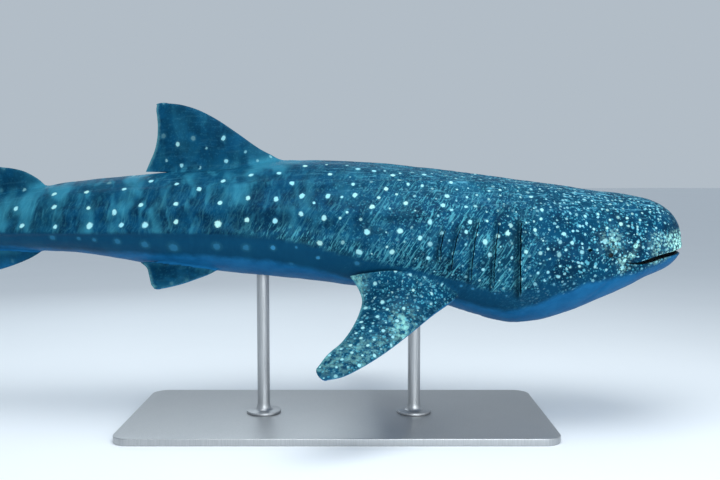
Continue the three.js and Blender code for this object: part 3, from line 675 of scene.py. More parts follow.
# ------------------------------------------------------------------ markings
# the large pale spots of the right flank: station, height, radius (mm)
FLANK_SPOTS = [
    (327, 75, 12), (432, 129, 12), (444, 266, 12), (521, 142, 14), (571, 103, 20), (576, -181, 18), (643, 12, 13), (643, 130, 12),
    (646, -80, 12), (672, 78, 14), (708, -152, 12), (736, 255, 13), (749, -66, 12), (763, 72, 12), (809, -199, 12), (814, 157, 15),
    (851, -25, 12), (858, 92, 12), (871, -171, 18), (909, 60, 12), (919, -18, 18), (932, -177, 15), (961, -64, 12), (971, 41, 20),
    (1000, -170, 12), (1080, 336, 12), (1083, -56, 12), (1105, 198, 16), (1120, 139, 15), (1145, 336, 16), (1146, -216, 13),
    (1163, 283, 16), (1166, 68, 16), (1224, 114, 12), (1230, -75, 20), (1234, -195, 13), (1323, -114, 12), 
    (1349, 50, 20), (1369, 330, 13), (1409, -140, 12), (1414, -194, 13), (1448, 324, 13), (1469, -94, 19), (1485, 128, 12),
    (1499, 441, 14), (1503, -8, 20), (1598, 122, 20), (1606, 284, 12), (1620, 219, 16), (1627, 57, 17), (1704, 385, 17),
    (1741, 291, 21), (1772, 232, 21), (1785, 51, 19), (1863, 122, 20), (1876, -115, 16), (1881, 433, 21), (1905, 358, 14),
    (1930, 18, 17), (2000, 371, 14), (2019, 246, 20), (2048, 446, 14), (2061, 63, 24), (2098, 432, 21), (2114, -76, 19),
    (2147, -42, 12), (2150, 338, 18), (2228, 460, 21), (2245, 220, 21), (2279, 56, 26), (2332, -78, 26), (2339, 474, 21),
    (2359, 298, 20), (2372, 371, 14), (2411, 187, 12), (2433, -186, 12), (2446, 285, 12), (2457, 147, 12), (2531, 439, 20),
    (2540, 291, 21), (2564, 147, 21), (2591, -19, 26), (2607, -123, 16), (2633, 245, 12), (2709, 495, 21), (2715, 291, 21),
    (2718, 173, 20), (2786, 378, 20), (2884, 446, 20), (2891, 271, 21), (2893, 125, 21), (2909, -57, 22), (3079, 433, 21),
    (3083, 277, 20), (3084, 131, 21), (3271, 391, 21), (3274, 243, 20), (3282, 103, 29), 
    (3428, 337, 21), (3573, 114, 20), (3581, 235, 20), (3598, 370, 21), (3789, 92, 27),
    (3791, 391, 21), (3827, 227, 21), (3959, 91, 20), (3966, 335, 21), (4010, 179, 21), (4187, 83, 27), (4204, 205, 20),
    (4238, 314, 21), (4438, 74, 20), (4462, 210, 21), (4481, 299, 21), (4687, 79, 21), (4750, 195, 21)]
BAND_SPOTS = [(4467, -2, 20), (4275, -8, 15), (4160, -14, 16), (3995, -25, 22), (3800, -44, 27), (3600, -63, 34), (3461, -144, 18),
              (3296, -52, 27), (3094, -56, 24), (2792, -171, 16), (2595, -120, 17), (2441, -185, 20), (3085, -154, 13)]
DORSAL_SPOTS = [(3295, 691, 18), (3282, 527, 18), (3647, 648, 18), (2972, 563, 13), (3066, 505, 13), (3585, 505, 17), (3145, 598, 12),
                (3439, 613, 12), (3470, 484, 13), (3728, 541, 12)]
PECTORAL_SPOTS = [
    (2217, 485, 16), (2186, 570, 17), (2285, 570, 18), (2214, 675, 17), (2092, 725, 16), (2178, 775, 16), (2388, 855, 14),
    (2275, 885, 13), (2381, 920, 13), (2078, 530, 14), (2037, 640, 14), (2325, 680, 14), (2248, 780, 12), (2443, 975, 12),
    (2312, 825, 12), (2154, 635, 13), (1987, 455, 13), (1896, 495, 12), (1803, 425, 14), (1979, 555, 12), (1848, 575, 12),
    (1740, 485, 12), (2115, 825, 12), (2231, 935, 12), (2351, 770, 12), (2472, 1030, 11), (1918, 420, 12)]


def region_of(s, y, z, out):
    """Which part each vertex belongs to: 0 body, 1 first dorsal, 2 second dorsal, 3 anal, 4 tail, 5 pectoral, 6 pelvic."""
    r = np.zeros(len(s), int)
    far = out > 16
    r[far & (s > 2600) & (s < 4200) & (z > 300)] = 1
    r[far & (s > 4350) & (s < 5380) & (z > 150)] = 2
    r[far & (s > 4350) & (s < 5300) & (z < -20)] = 3
    r[(far & (s > 5380)) | (s > 5900)] = 4
    r[far & (s > 1400) & (s < 2900) & (z < -60)] = 5
    r[far & (s > 3150) & (s < 4000) & (z < 0)] = 6
    return r


def attribute(mesh, name, data):
    data = np.ascontiguousarray(data, np.float32)
    kind = "FLOAT_VECTOR" if data.ndim == 2 else "FLOAT"
    a = mesh.attributes.new(name, kind, "POINT")
    a.data.foreach_set("vector" if data.ndim == 2 else "value", data.ravel())


def brow0(s, z, region):
    """The plainer, darker front of the snout above the muzzle."""
    return np.where(region == 0, (1 - smoothstep(190, 290, s)) * smoothstep(20, 50, z) * (1 - smoothstep(150, 200, z)), 0.0)


def scatter(points, pitch, taken, r):
    """Evenly loose places among the points: no two nearer than the pitch there, none near a taken one."""
    size = float(pitch.max())
    cells = {}
    key = lambda p: (int(p[0] // size), int(p[1] // size), int(p[2] // size))
    for p, room in taken:
        cells.setdefault(key(p), []).append((p, room))
    chosen = []
    for i in r.permutation(len(points)):
        p, d = points[i], pitch[i]
        kx, ky, kz = key(p)
        free = True
        for dx in (-1, 0, 1):
            for dy in (-1, 0, 1):
                for dz in (-1, 0, 1):
                    for q, room in cells.get((kx + dx, ky + dy, kz + dz), ()):
                        m = (d + room) / 2
                        if (p[0] - q[0]) ** 2 + (p[1] - q[1]) ** 2 + (p[2] - q[2]) ** 2 < m * m:
                            free = False
                            break
                    if not free:
                        break
                if not free:
                    break
            if not free:
                break
        if free:
            chosen.append(i)
            cells.setdefault((kx, ky, kz), []).append((p, d))
    return np.array(chosen, int)


def mark(skin):
    """Gives every vertex its place in the markings."""
    mesh = skin.data
    p = positions(mesh)
    s, y, z = unplace(p)
    phi, out = body_angle(s, y, z)
    region = region_of(s, y, z, out)
    nrm = np.empty(len(p) * 3)
    mesh.vertices.foreach_get("normal", nrm)
    nrm = nrm.reshape(-1, 3)
    size = (HALF(s) + (BACK(s) - BELLY(s)) / 2) / 2

    # where the dark back ends: the cheek, then the side of the trunk, then the lowest ridge
    edge = curve([56, 568, 708, 986, 1186, 1330, 1700, 2040, 2390, 2700, 3000, 3500, 4400, 5000, 5380, 5780, 6000],
                 [-58, -212, -228, -272, -330, -352, -262, -180, -112, -28, 16, 38, 30, 34, 50, 120, 200])
    below = edge(s) - z                                   # mm under the edge of the dark back
    belly = curve([56, 700, 1200, 1700, 2400, 3200, 4400, 5100, 5500, 6000], [0, 40, 130, 150, 165, 160, 125, 95, 72, 60])
    pale = below - belly(s)
    fin = np.where(region > 0, smoothstep(14, 60, out), 0.0)
    # the fins' own undersides and edges, which take the underside colour: a dark blue painted shade in place of their
    # real pale tone
    under = np.where((region == 5) | (region == 6), smoothstep(0.05, -0.35, nrm[:, 2]) * smoothstep(20, 60, out), 0.0)
    pale = np.where(region > 0, -150.0 + 220.0 * under, pale)
    pale = np.where((region == 4) | (region == 3), -60 - 0.2 * (z - 60), pale)
    # band: the slate band under the lowest ridge, partly real colour and partly painted shade under the ridge
    band = np.where(region == 0, smoothstep(-6, 10, below), np.where(region == 3, 0.5, 0.0))
    attribute(mesh, "pale", pale / 100)
    attribute(mesh, "band", band)
    attribute(mesh, "fin", fin)
    attribute(mesh, "back", np.where(region == 0, 1 - smoothstep(0.35, 1.15, phi), 0.35))
    inside = (s < CORNER + 4) & (out < -7) & (np.abs(z - lip(s) + gape(s) / 2) < 150)
    attribute(mesh, "inside", inside.astype(float) * smoothstep(7, 24, -out))
    # painted shade inside the gill slits, the eye socket, the spiracle and the nostril
    recess_shade = np.zeros(len(p))
    for top, foot, high, low in GILLS:
        t = np.clip((high - z) / (high - low), 0, 1)
        e = np.abs(s - (top + (foot - top) * t + 14 * 4 * t * (1 - t)) + 10)
        recess_shade = np.maximum(recess_shade, (e < 44) * smoothstep(8, 17, -out) * (z < high + 10) * (z > low - 10))
    for cs, cz, cr in ((EYE_S, EYE_Z, 34), SPIRACLE, (84, -50, 34)):
        recess_shade = np.maximum(recess_shade, (np.hypot(s - cs, z - cz) < cr + 8) * smoothstep(5, 14, -out) * (s > 70))
    attribute(mesh, "recess_shade", recess_shade)
    # painted shade: a soft dark band at each gill slit, strongest and widest at the first
    shade = np.zeros(len(p))
    for top, foot, high, low in GILLS:
        t = np.clip((high - z) / (high - low), -0.1, 1.1)
        e = s - (top + (foot - top) * t + 14 * 4 * t * (1 - t))
        gain = 1.0 if top < 1300 else 0.5
        env = smoothstep(high + 14, high - 12, z) * smoothstep(low - 14, low + 12, z)
        shade = np.maximum(shade, gain * env * np.exp(-(np.maximum(e - 4, 0) / (34 if top < 1300 else 17)) ** 2) * np.exp(-(np.minimum(e + 3, 0) / 8) ** 2))
    # fringe: where the painted caustic light streaks grow stronger, along the lower edge of the dark back
    attribute(mesh, "fringe", np.where(region == 0, smoothstep(-150, -60, below) * smoothstep(8, -14, below)
                                       * smoothstep(1750, 2050, s) * smoothstep(3350, 2700, s), 0.0))
    # painted shade in the furrow at the corner of the mouth, under the overhanging fold
    shade = np.maximum(shade, 1.1 * np.exp(-((s - 522) / 34) ** 2 - ((z - lip(s) + 16) / 15) ** 2) * (region == 0) * (out > -12))
    # a ring of painted shade round the eye socket
    eye_off = np.hypot(s - EYE_S, z - EYE_Z)
    shade = np.maximum(shade, 0.75 * np.exp(-((eye_off - EYE_R - 6) / 8) ** 2) * (region == 0))
    attribute(mesh, "shade", shade * (region == 0))
    head = (1 - smoothstep(700, 1500, s)) * (1 - 0.75 * brow0(s, z, region))
    attribute(mesh, "zone", np.stack([head, smoothstep(1050, 1300, s) * (1 - smoothstep(1750, 2950, s)), smoothstep(2000, 3200, s)], 1))
    # thin pale trailing edges and worn leading edges of the fins
    rim = np.zeros(len(p))
    for name, f in FINS.items():
        code = {"d": 1 if "first" in name else 2, "a": 3, "t": 4}.get(name[0], 5 if "pectoral" in name else 6)
        sel = np.nonzero(region == code)[0]
        if not len(sel):
            continue
        side = f.get("side", 1)
        ts = np.linspace(0, 1, 90)
        for key, width, gain in (("trail", 24, 1.0), ("lead", 16, 0.6)):
            line = np.array([spline(f[key], t) for t in ts]) * np.array([1, side, 1])
            tree = fill_tree(place(line))
            for i in sel:
                d = tree.find(p[i])[2] * 1000
                rim[i] = max(rim[i], gain * max(0.0, 1 - d / width / 1.6))
    attribute(mesh, "rim", rim)

    # seeds: the charted spots on the right, the same with small shifts on the left, and the rest scattered
    r = np.random.default_rng(5)
    seeds = []
    for side, loose in ((-1, 0.0), (1, 1.0)):
        for ss, zz, rr in FLANK_SPOTS:
            a, b = ss + loose * r.normal(0, 24), zz + loose * r.normal(0, 16)
            top = float(body_yz(a, 0.0)[1])
            b = min(b, top - 3)
            seeds.append((place(np.array([a, side * flank(a, b), b])), (0.74 if ss < 1250 else 0.8) * rr * (1 + loose * r.normal(0, 0.08)), 1.0))
        for ss, zz, rr in BAND_SPOTS:
            a, b = ss + loose * r.normal(0, 30), zz + loose * r.normal(0, 10)
            seeds.append((place(np.array([a, side * flank(a, b), b])), 0.95 * rr, 0.42))
        for ss, yy, rr in ((v[0], v[1], v[2] * 0.86) for v in PECTORAL_SPOTS):
            a, b = ss + loose * r.normal(0, 14), yy + loose * r.normal(0, 12)
            if side > 0:
                t = math.radians(LEFT_FORWARD)
                a, b = 1800 + (a - 1800) * math.cos(t) - (b - 480) * math.sin(t), 480 + (a - 1800) * math.sin(t) + (b - 480) * math.cos(t)
            cand = np.nonzero((region == 5) & (np.sign(y) == side) & (nrm[:, 2] > 0))[0]
            i = cand[np.argmin((s[cand] - a) ** 2 + (np.abs(y[cand]) - b) ** 2)]
            seeds.append((p[i], rr, 0.9))
        for ss, zz, rr in DORSAL_SPOTS:
            cand = np.nonzero((region == 1) & (np.sign(nrm[:, 1]) == side))[0]
            i = cand[np.argmin((s[cand] - ss) ** 2 + (z[cand] - zz) ** 2)]
            seeds.append((p[i], 0.8 * rr * (1 + loose * r.normal(0, 0.1)), 0.75 if rr > 15 else 0.45))
    charted = [(q, max(0.075 if 2450 < unplace(q)[0] else 0.05, 0.0)) for q, _, _ in seeds]
    pitch = np.interp(s, [56, 150, 500, 900, 1200, 1600, 2300, 2700, 3300, 5000, 6200, 7056],
                      [48, 50, 53, 55, 60, 78, 120, 150, 190, 180, 130, 90])
    pitch = np.where(region == 1, 190, pitch)
    pitch = np.where(region == 5, 72, pitch)
    pitch = np.where(region == 4, 130, pitch)
    pitch = np.where((region == 2) | (region == 3) | (region == 6), 105, pitch)
    brow = brow0(s, z, region)
    pitch = pitch * (1 + 1.3 * brow)
    where = (pale < 0.1) & ~inside & (recess_shade < 0.3) & ((below < 40) | (region > 0)) & ((region > 0) | (out < 12))
    idx = np.nonzero(where)[0]
    grown = [(q, 0.15 if unplace(q)[0] > 2450 and abs(unplace(q)[2]) < 600 else 0.045) for q, _ in charted]
    pick = idx[scatter(p[idx], pitch[idx] / 1000, grown, r)]
    for i in pick:
        base = float(np.interp(s[i], [56, 500, 1200, 2000, 2600, 3200, 6000], [6.0, 6.8, 7.6, 8.4, 11.0, 14.5, 12.0]))
        if region[i] == 5:
            base = 7.6
        if region[i] == 1:
            base = 12.0
        strength = float(np.clip(r.normal(0.66, 0.24), 0.2, 1.0))
        if region[i] in (2, 3, 6) or (region[i] == 4 and z[i] < 120):
            strength *= 0.14
        elif region[i] == 4:
            strength *= 0.6
        if region[i] == 1:
            strength *= 0.22
        if s[i] > 2500 and region[i] == 0 and z[i] < 300:
            strength *= 0.9
        seeds.append((p[i], base * float(np.clip(r.lognormal(0, 0.32), 0.5, 2.0)), strength))

    centres = np.array([q for q, _, _ in seeds])
    radius = np.array([v for _, v, _ in seeds]) / 1000
    power = np.array([v for _, _, v in seeds])
    tree = fill_tree(centres)
    # no spot reaches as far as its neighbour
    for i in range(len(centres)):
        for _, k, far in tree.find_n(centres[i], 6):
            if k < i:
                radius[i] = max(0.0012, min(radius[i], (far - 0.017) / 1.2 - radius[k]))
    power = np.where(radius < 0.003, 0.0, power)
    nearest = np.empty(len(p), int)
    for i, q in enumerate(p):
        nearest[i] = min((far / (radius[k] + 0.006), k) for _, k, far in tree.find_n(q, 5))[1]
    lean = r.normal(78, 26, len(centres)) * np.pi / 180
    axis = np.stack([np.cos(lean), np.zeros(len(lean)), np.sin(lean)], 1)
    longer = np.where(power == 0.42, 1.0, np.clip(r.normal(1.12, 0.14, len(centres)), 0.9, 1.6))
    d = p - centres[nearest]
    along = (d * axis[nearest]).sum(1, keepdims=True)
    away = (d + (1 / longer[nearest, None] - 1) * along * axis[nearest]) / radius[nearest, None]
    gold = (1 + 5 ** 0.5) / 2
    marks = np.array([(0, a, b * gold) for a in (-1, 1) for b in (-1, 1)] + [(a, b * gold, 0) for a in (-1, 1) for b in (-1, 1)]
                     + [(b * gold, 0, a) for a in (-1, 1) for b in (-1, 1)]) / math.hypot(1, gold)
    turn = np.full(len(centres), -1)
    for i, q in enumerate(centres):
        used = {turn[k] for _, k, _ in tree.find_n(q, 9)}
        turn[i] = next((c for c in r.permutation(12) if c not in used), 0)
    attribute(mesh, "spot", away)
    attribute(mesh, "spot_cell", marks[turn][nearest])
    attribute(mesh, "spot_power", power[nearest])
    print("spots", len(seeds))
    return region, s, y, z, phi, nrm


def unwrap(skin, region, s, y, z, phi, nrm):
    """One flat layout: the two flanks and the fins, each in a place of its own; the mouth lining falls in with the
    flanks.
    """
    mesh = skin.data
    loops = np.empty(len(mesh.loops), np.int64)
    mesh.loops.foreach_get("vertex_index", loops)
    start = np.empty(len(mesh.polygons), np.int64)
    total = np.empty(len(mesh.polygons), np.int64)
    mesh.polygons.foreach_get("loop_start", start)
    mesh.polygons.foreach_get("loop_total", total)
    face = np.repeat(np.arange(len(start)), total)
    centre_y = np.bincount(face, y[loops]) / total
    kind = np.array([region[loops[a]] for a in start])
    fn = np.empty(len(mesh.polygons) * 3)
    mesh.polygons.foreach_get("normal", fn)
    fn = fn.reshape(-1, 3)
    left = centre_y > 0
    uv = np.zeros((len(loops), 2))
    vs, vy, vz, vp = s[loops], np.abs(y[loops]), z[loops], phi[loops]
    body = kind == 0
    out_face = fn[:, 1] > 0
    boxes = {}

    def put(faces, a, b, ra, rb, box):
        sel = faces[face]
        u = (a[sel] - ra[0]) / (ra[1] - ra[0])
        v = (b[sel] - rb[0]) / (rb[1] - rb[0])
        uv[sel, 0] = box[0] + np.clip(u, 0, 1) * (box[2] - box[0])
        uv[sel, 1] = box[1] + np.clip(v, 0, 1) * (box[3] - box[1])
    put(body & left, vs, vp, (50, 6250), (0, np.pi), (0.002, 0.002, 0.998, 0.36))
    put(body & ~left, vs, vp, (50, 6250), (0, np.pi), (0.002, 0.365, 0.998, 0.72))
    put((kind == 4) & out_face, vs, vz, (5380, 7060), (-700, 1210), (0.002, 0.73, 0.16, 0.998))
    put((kind == 4) & ~out_face, vs, vz, (5380, 7060), (-700, 1210), (0.165, 0.73, 0.32, 0.998))
    up = fn[:, 2] > 0
    x = 0.325
    for side in (True, False):
        for face_up in (True, False):
            put((kind == 5) & (left == side) & (up == face_up), vs, vy, (1380, 2720), (330, 1200), (x, 0.73, x + 0.115, 0.998))
            x += 0.118
    put((kind == 1) & out_face, vs, vz, (2600, 4000), (300, 960), (0.80, 0.87, 0.898, 0.998))
    put((kind == 1) & ~out_face, vs, vz, (2600, 4000), (300, 960), (0.90, 0.87, 0.998, 0.998))
    put((kind == 2) & out_face, vs, vz, (4400, 5200), (200, 500), (0.80, 0.80, 0.848, 0.866))
    put((kind == 2) & ~out_face, vs, vz, (4400, 5200), (200, 500), (0.85, 0.80, 0.898, 0.866))
    put((kind == 3) & out_face, vs, vz, (4400, 5200), (-280, 0), (0.90, 0.80, 0.948, 0.866))
    put((kind == 3) & ~out_face, vs, vz, (4400, 5200), (-280, 0), (0.95, 0.80, 0.998, 0.866))
    put((kind == 6) & up, vs, y[loops], (3200, 3900), (-360, 360), (0.80, 0.73, 0.898, 0.796))
    put((kind == 6) & ~up, vs, y[loops], (3200, 3900), (-360, 360), (0.90, 0.73, 0.998, 0.796))
    layer = mesh.uv_layers.new(name="OFBake")
    layer.data.foreach_set("uv", uv.astype(np.float32).ravel())


# ------------------------------------------------------------------ materials
class Shader:
    """A short way to wire up a material's nodes."""

    def __init__(self, name):
        self.mat = bpy.data.materials.new(name)
        self.mat.use_nodes = True
        self.tree = self.mat.node_tree
        self.bsdf = self.tree.nodes["Principled BSDF"]

    def node(self, kind, inputs=None, **props):
        n = self.tree.nodes.new(kind)
        for k, v in props.items():
            setattr(n, k, v)
        for k, v in (inputs or {}).items():
            self.feed(n.inputs[k], v)
        return n

    def feed(self, socket, value):
        if hasattr(value, "is_output"):
            self.tree.links.new(value, socket)
        else:
            socket.default_value = value

    def attr(self, name, out="Fac"):
        return self.node("ShaderNodeAttribute", attribute_name=name).outputs[out]

    def math(self, op, a, b=0.0, c=0.0, clamp=False):
        n = self.node("ShaderNodeMath", operation=op, use_clamp=clamp)
        for k, v in enumerate((a, b, c)[:len(n.inputs)]):
            self.feed(n.inputs[k], v)
        return n.outputs[0]

    def step(self, a, b, x):
        n = self.node("ShaderNodeMapRange", interpolation_type="SMOOTHSTEP")
        self.feed(n.inputs["Value"], x)
        self.feed(n.inputs["From Min"], a)
        self.feed(n.inputs["From Max"], b)
        return n.outputs[0]

    def mix(self, f, a, b):
        n = self.node("ShaderNodeMix", data_type="RGBA")
        self.feed(n.inputs[0], f)
        for socket, v in ((n.inputs[6], a), (n.inputs[7], b)):
            self.feed(socket, (*v, 1) if isinstance(v, tuple) and len(v) == 3 else v)
        return n.outputs[2]

    def noise(self, vector, scale, detail=3.0, rough=0.55, distort=0.0):
        n = self.node("ShaderNodeTexNoise", {"Vector": vector, "Scale": scale, "Detail": detail, "Roughness": rough, "Distortion": distort})
        return n.outputs[0]

    def stretch(self, vector, scale, turn=(0, 0, 0)):
        a = self.node("ShaderNodeMapping", {"Vector": vector, "Rotation": tuple(math.radians(t) for t in turn)}).outputs[0]
        return self.node("ShaderNodeMapping", {"Vector": a, "Scale": scale}).outputs[0]


def skin_material():
    m = Shader("spotted_skin")
    place3 = m.node("ShaderNodeTexCoord").outputs["Object"]
    pale, band, fin, back = (m.attr(k) for k in ("pale", "band", "fin", "back"))
    inside, recess_shade, rim = (m.attr(k) for k in ("inside", "recess_shade", "rim"))
    zone = m.node("ShaderNodeSeparateXYZ", {0: m.attr("zone", "Vector")}).outputs
    head, girth, tail = zone[0], zone[1], zone[2]

    broad = m.noise(place3, 1.6, 4, 0.55)
    mid = m.noise(place3, 7.5, 5, 0.6)
    fine = m.noise(place3, 42.0, 4, 0.6)

    # dark back: slate green-blue, mottled, a little lighter towards the top of the back
    dark = m.mix(m.step(0.38, 0.64, mid), (0.0006, 0.019, 0.048), (0.0016, 0.043, 0.100))
    dark = m.mix(m.math("MULTIPLY", m.step(0.5, 0.7, broad), 0.5), dark, (0.003, 0.038, 0.070))
    dark = m.mix(m.math("MULTIPLY", m.step(0.52, 0.66, m.noise(place3, 3.1, 3, 0.6)), 0.28), dark, (0.003, 0.068, 0.130))
    dark = m.mix(m.math("MULTIPLY", back, 0.35), dark, (0.003, 0.072, 0.140))

    # fine pale grain and small flecks between the spots
    bent = m.node("ShaderNodeVectorMath", {0: place3, 1: m.node("ShaderNodeVectorMath", {0: m.node(
        "ShaderNodeTexNoise", {"Vector": place3, "Scale": 9.0, "Detail": 2.0}).outputs["Color"], "Scale": 0.03}, operation="SCALE").outputs[0]}, operation="ADD").outputs[0]

    ragged = m.node("ShaderNodeVectorMath", {0: bent, 1: m.node("ShaderNodeVectorMath", {0: m.node(
        "ShaderNodeTexNoise", {"Vector": place3, "Scale": 70.0, "Detail": 2.0}).outputs["Color"], "Scale": 0.016}, operation="SCALE").outputs[0]}, operation="ADD").outputs[0]

    def dots(scale, size, soft, keep):
        v = m.node("ShaderNodeTexVoronoi", {"Vector": ragged, "Scale": scale, "Randomness": 1.0})
        c = m.node("ShaderNodeSeparateColor", {0: v.outputs["Color"]}).outputs
        r = m.math("MULTIPLY_ADD", c[1], size * 0.8, size * 0.5)
        d = m.math("SUBTRACT", v.outputs["Distance"], r)
        on = m.math("GREATER_THAN", c[0], keep)
        return m.math("MULTIPLY", m.math("SUBTRACT", 1.0, m.step(-soft, soft, d)), on)
    on_body = m.math("SUBTRACT", 1.0, fin)
    flecks = m.math("MULTIPLY", dots(25.0, 0.22, 0.07, 0.15), m.math("MULTIPLY_ADD", head, 0.74, m.math("MULTIPLY_ADD", girth, 0.20, m.math("MULTIPLY", m.attr("pec"), 0.30))))
    specks = m.math("MULTIPLY", dots(54.0, 0.30, 0.11, 0.12), m.math("MULTIPLY_ADD", head, 0.62, m.math("MULTIPLY_ADD", girth, 0.40, m.math("MULTIPLY_ADD", m.attr("pec"), 0.22, 0.06))))
    bright = m.math("MULTIPLY", dots(31.0, 0.25, 0.06, 0.34), m.math("MULTIPLY_ADD", head, 0.85, m.math("MULTIPLY_ADD", girth, 0.10, m.math("MULTIPLY", m.attr("pec"), 0.2))))
    near_half = m.math("ABSOLUTE", m.math("SUBTRACT", m.noise(bent, 21.0, 3, 0.6, 0.6), 0.5))
    hooks = m.math("MULTIPLY", m.math("SUBTRACT", 1.0, m.step(0.004, 0.022, near_half)), m.step(0.47, 0.60, m.noise(place3, 11.0, 2, 0.5)))
    hooks = m.math("MULTIPLY", hooks, m.math("MULTIPLY_ADD", head, 0.26, m.math("MULTIPLY_ADD", girth, 0.12, m.math("MULTIPLY", m.attr("pec"), 0.12))))

    # slanted strokes on the flank and level wavy lines on the back: painted caustic light, drawn like pale skin
    # scratches
    def strokes(turn, scale, lo, hi, seed):
        v = m.stretch(m.node("ShaderNodeVectorMath", {0: bent, 1: (seed, seed, seed)}, operation="ADD").outputs[0], scale, turn)
        n = m.noise(v, 1.0, 2, 0.5, 0.25)
        return m.step(lo, hi, n)
    slant = strokes((0, 58, 0), (6, 10, 74), 0.56, 0.65, 3.0)
    short = strokes((0, 52, 0), (17, 22, 115), 0.57, 0.67, 5.0)
    slant = m.math("MAXIMUM", slant, m.math("MULTIPLY", short, 0.8))
    gate = m.step(0.30, 0.54, m.noise(place3, 4.0, 3, 0.5))
    slant = m.math("MULTIPLY", m.math("MULTIPLY", slant, gate), m.math("MULTIPLY_ADD", girth, 0.60, m.math("MULTIPLY", tail, 0.08)))
    upright = m.math("MAXIMUM", strokes((0, 80, 0), (7, 9, 55), 0.56, 0.67, 14.0), m.math("MULTIPLY", strokes((0, 74, 0), (16, 20, 110), 0.57, 0.68, 17.0), 0.7))
    slant = m.math("MAXIMUM", slant, m.math("MULTIPLY", m.math("MULTIPLY", upright, gate), m.math("MULTIPLY", tail, 0.13)))
    slant = m.math("MAXIMUM", slant, m.math("MULTIPLY", m.step(0.50, 0.62, m.noise(m.stretch(bent, (16, 20, 85), (0, 62, 0)), 1.0, 3, 0.6)), m.math("MULTIPLY", m.attr("fringe"), 0.5)))
    slant = m.math("MULTIPLY", slant, m.math("MULTIPLY", on_body, m.math("SUBTRACT", 1.0, m.math("MULTIPLY", back, 0.75))))
    # level wavy lines: painted caustic light on the back
    level = strokes((0, 3, 0), (4.5, 58, 58), 0.575, 0.655, 9.0)
    level = m.math("MULTIPLY", level, m.math("MULTIPLY", back, m.math("MULTIPLY_ADD", head, 0.62, m.math("MULTIPLY_ADD", girth, 0.36, 0.08))))
    bars = m.math("MAXIMUM", strokes((0, 8, 0), (5.5, 3, 2.0), 0.48, 0.70, 21.0), m.math("MULTIPLY", strokes((0, -6, 0), (17, 8, 5), 0.50, 0.72, 31.0), 0.6))
    bars = m.math("MULTIPLY", bars, m.math("MULTIPLY", m.math("MULTIPLY_ADD", tail, 0.50, m.math("MULTIPLY", girth, 0.12)), m.math("MULTIPLY_ADD", fin, -0.75, 1.0)))

    # the pale spots, each round with a slightly uneven edge
    sp = m.attr("spot", "Vector")
    length = m.node("ShaderNodeVectorMath", {0: sp}, operation="LENGTH").outputs["Value"]
    wob = m.math("MULTIPLY_ADD", m.noise(place3, 62.0, 3, 0.55), 0.9, -0.45)
    d = m.math("ADD", length, wob)
    core = m.math("SUBTRACT", 1.0, m.step(0.66, 1.20, d))
    halo = m.math("SUBTRACT", 1.0, m.step(0.9, 2.1, d))
    one = m.node("ShaderNodeVectorMath", {0: m.attr("spot_cell", "Vector")}, operation="LENGTH").outputs["Value"]
    same = m.step(0.955, 0.975, one)
    spot = m.math("MULTIPLY", m.math("MULTIPLY", core, same), m.attr("spot_power"))
    halo = m.math("MULTIPLY", m.math("MULTIPLY", halo, same), 0.20)

    colour = m.mix(bars, dark, (0.04, 0.27, 0.39))
    # painted caustic light: the slanted strokes, then the level wavy lines
    colour = m.mix(slant, colour, (0.09, 0.40, 0.48))
    colour = m.mix(level, colour, (0.12, 0.44, 0.60))
    clouds = m.math("MULTIPLY", m.step(0.40, 0.66, m.noise(place3, 26.0, 4, 0.65)), m.attr("cloud"))
    colour = m.mix(clouds, colour, (0.24, 0.56, 0.52))
    colour = m.mix(hooks, colour, (0.07, 0.34, 0.44))
    colour = m.mix(specks, colour, (0.06, 0.33, 0.44))
    colour = m.mix(flecks, colour, (0.11, 0.42, 0.54))
    colour = m.mix(bright, colour, (0.25, 0.58, 0.66))
    # pale muzzle front and cheek blotches
    grains = m.math("MAXIMUM", dots(50.0, 0.44, 0.08, 0.06), m.math("MULTIPLY", m.step(0.53, 0.61, m.noise(place3, 34.0, 4, 0.65)), 0.8))
    muzzle = m.math("MULTIPLY", m.math("MULTIPLY_ADD", grains, 0.92, 0.07), m.attr("muzzle"), clamp=True)
    colour = m.mix(muzzle, colour, (0.46, 0.93, 0.84))

    # the smooth slate band, partly its real colour and partly painted shade under the lowest ridge, with its spots
    # dimmed; the underside, its real pale colour replaced by a dark blue painted shade
    rough_edge = m.math("MULTIPLY_ADD", mid, 0.5, -0.25)
    b = m.math("MULTIPLY", band, m.math("SUBTRACT", 1.0, m.math("MULTIPLY", head, 0.6)))
    colour = m.mix(m.math("MULTIPLY", b, 0.92), colour, m.mix(broad, (0.0012, 0.038, 0.090), (0.003, 0.054, 0.120)))
    colour = m.mix(halo, colour, (0.03, 0.16, 0.22))
    spot_colour = m.mix(m.step(0.35, 0.7, m.noise(place3, 2.3, 2, 0.5)), (0.235, 0.54, 0.63), (0.34, 0.61, 0.59))
    spot_colour = m.mix(b, spot_colour, (0.03, 0.19, 0.36))
    colour = m.mix(spot, colour, spot_colour)
    under = m.step(-0.22, 0.28, m.math("ADD", pale, rough_edge))
    underside_painted_shade = m.mix(m.step(0.3, 0.7, mid), (0.004, 0.088, 0.225), (0.010, 0.122, 0.285))
    colour = m.mix(under, colour, underside_painted_shade)

    # worn pale rims on the fins
    r = m.math("MULTIPLY", m.step(0.25, 0.95, m.math("MULTIPLY_ADD", fine, 0.5, m.math("MULTIPLY_ADD", rim, 1.0, -0.25))), 0.40)
    colour = m.mix(m.math("MULTIPLY", r, fin), colour, (0.12, 0.36, 0.40))
    # painted shade at the gill slits, in the furrow at the mouth corner and round the eye
    colour = m.mix(m.math("MULTIPLY", m.attr("shade"), 0.7), colour, (0.0008, 0.014, 0.026))
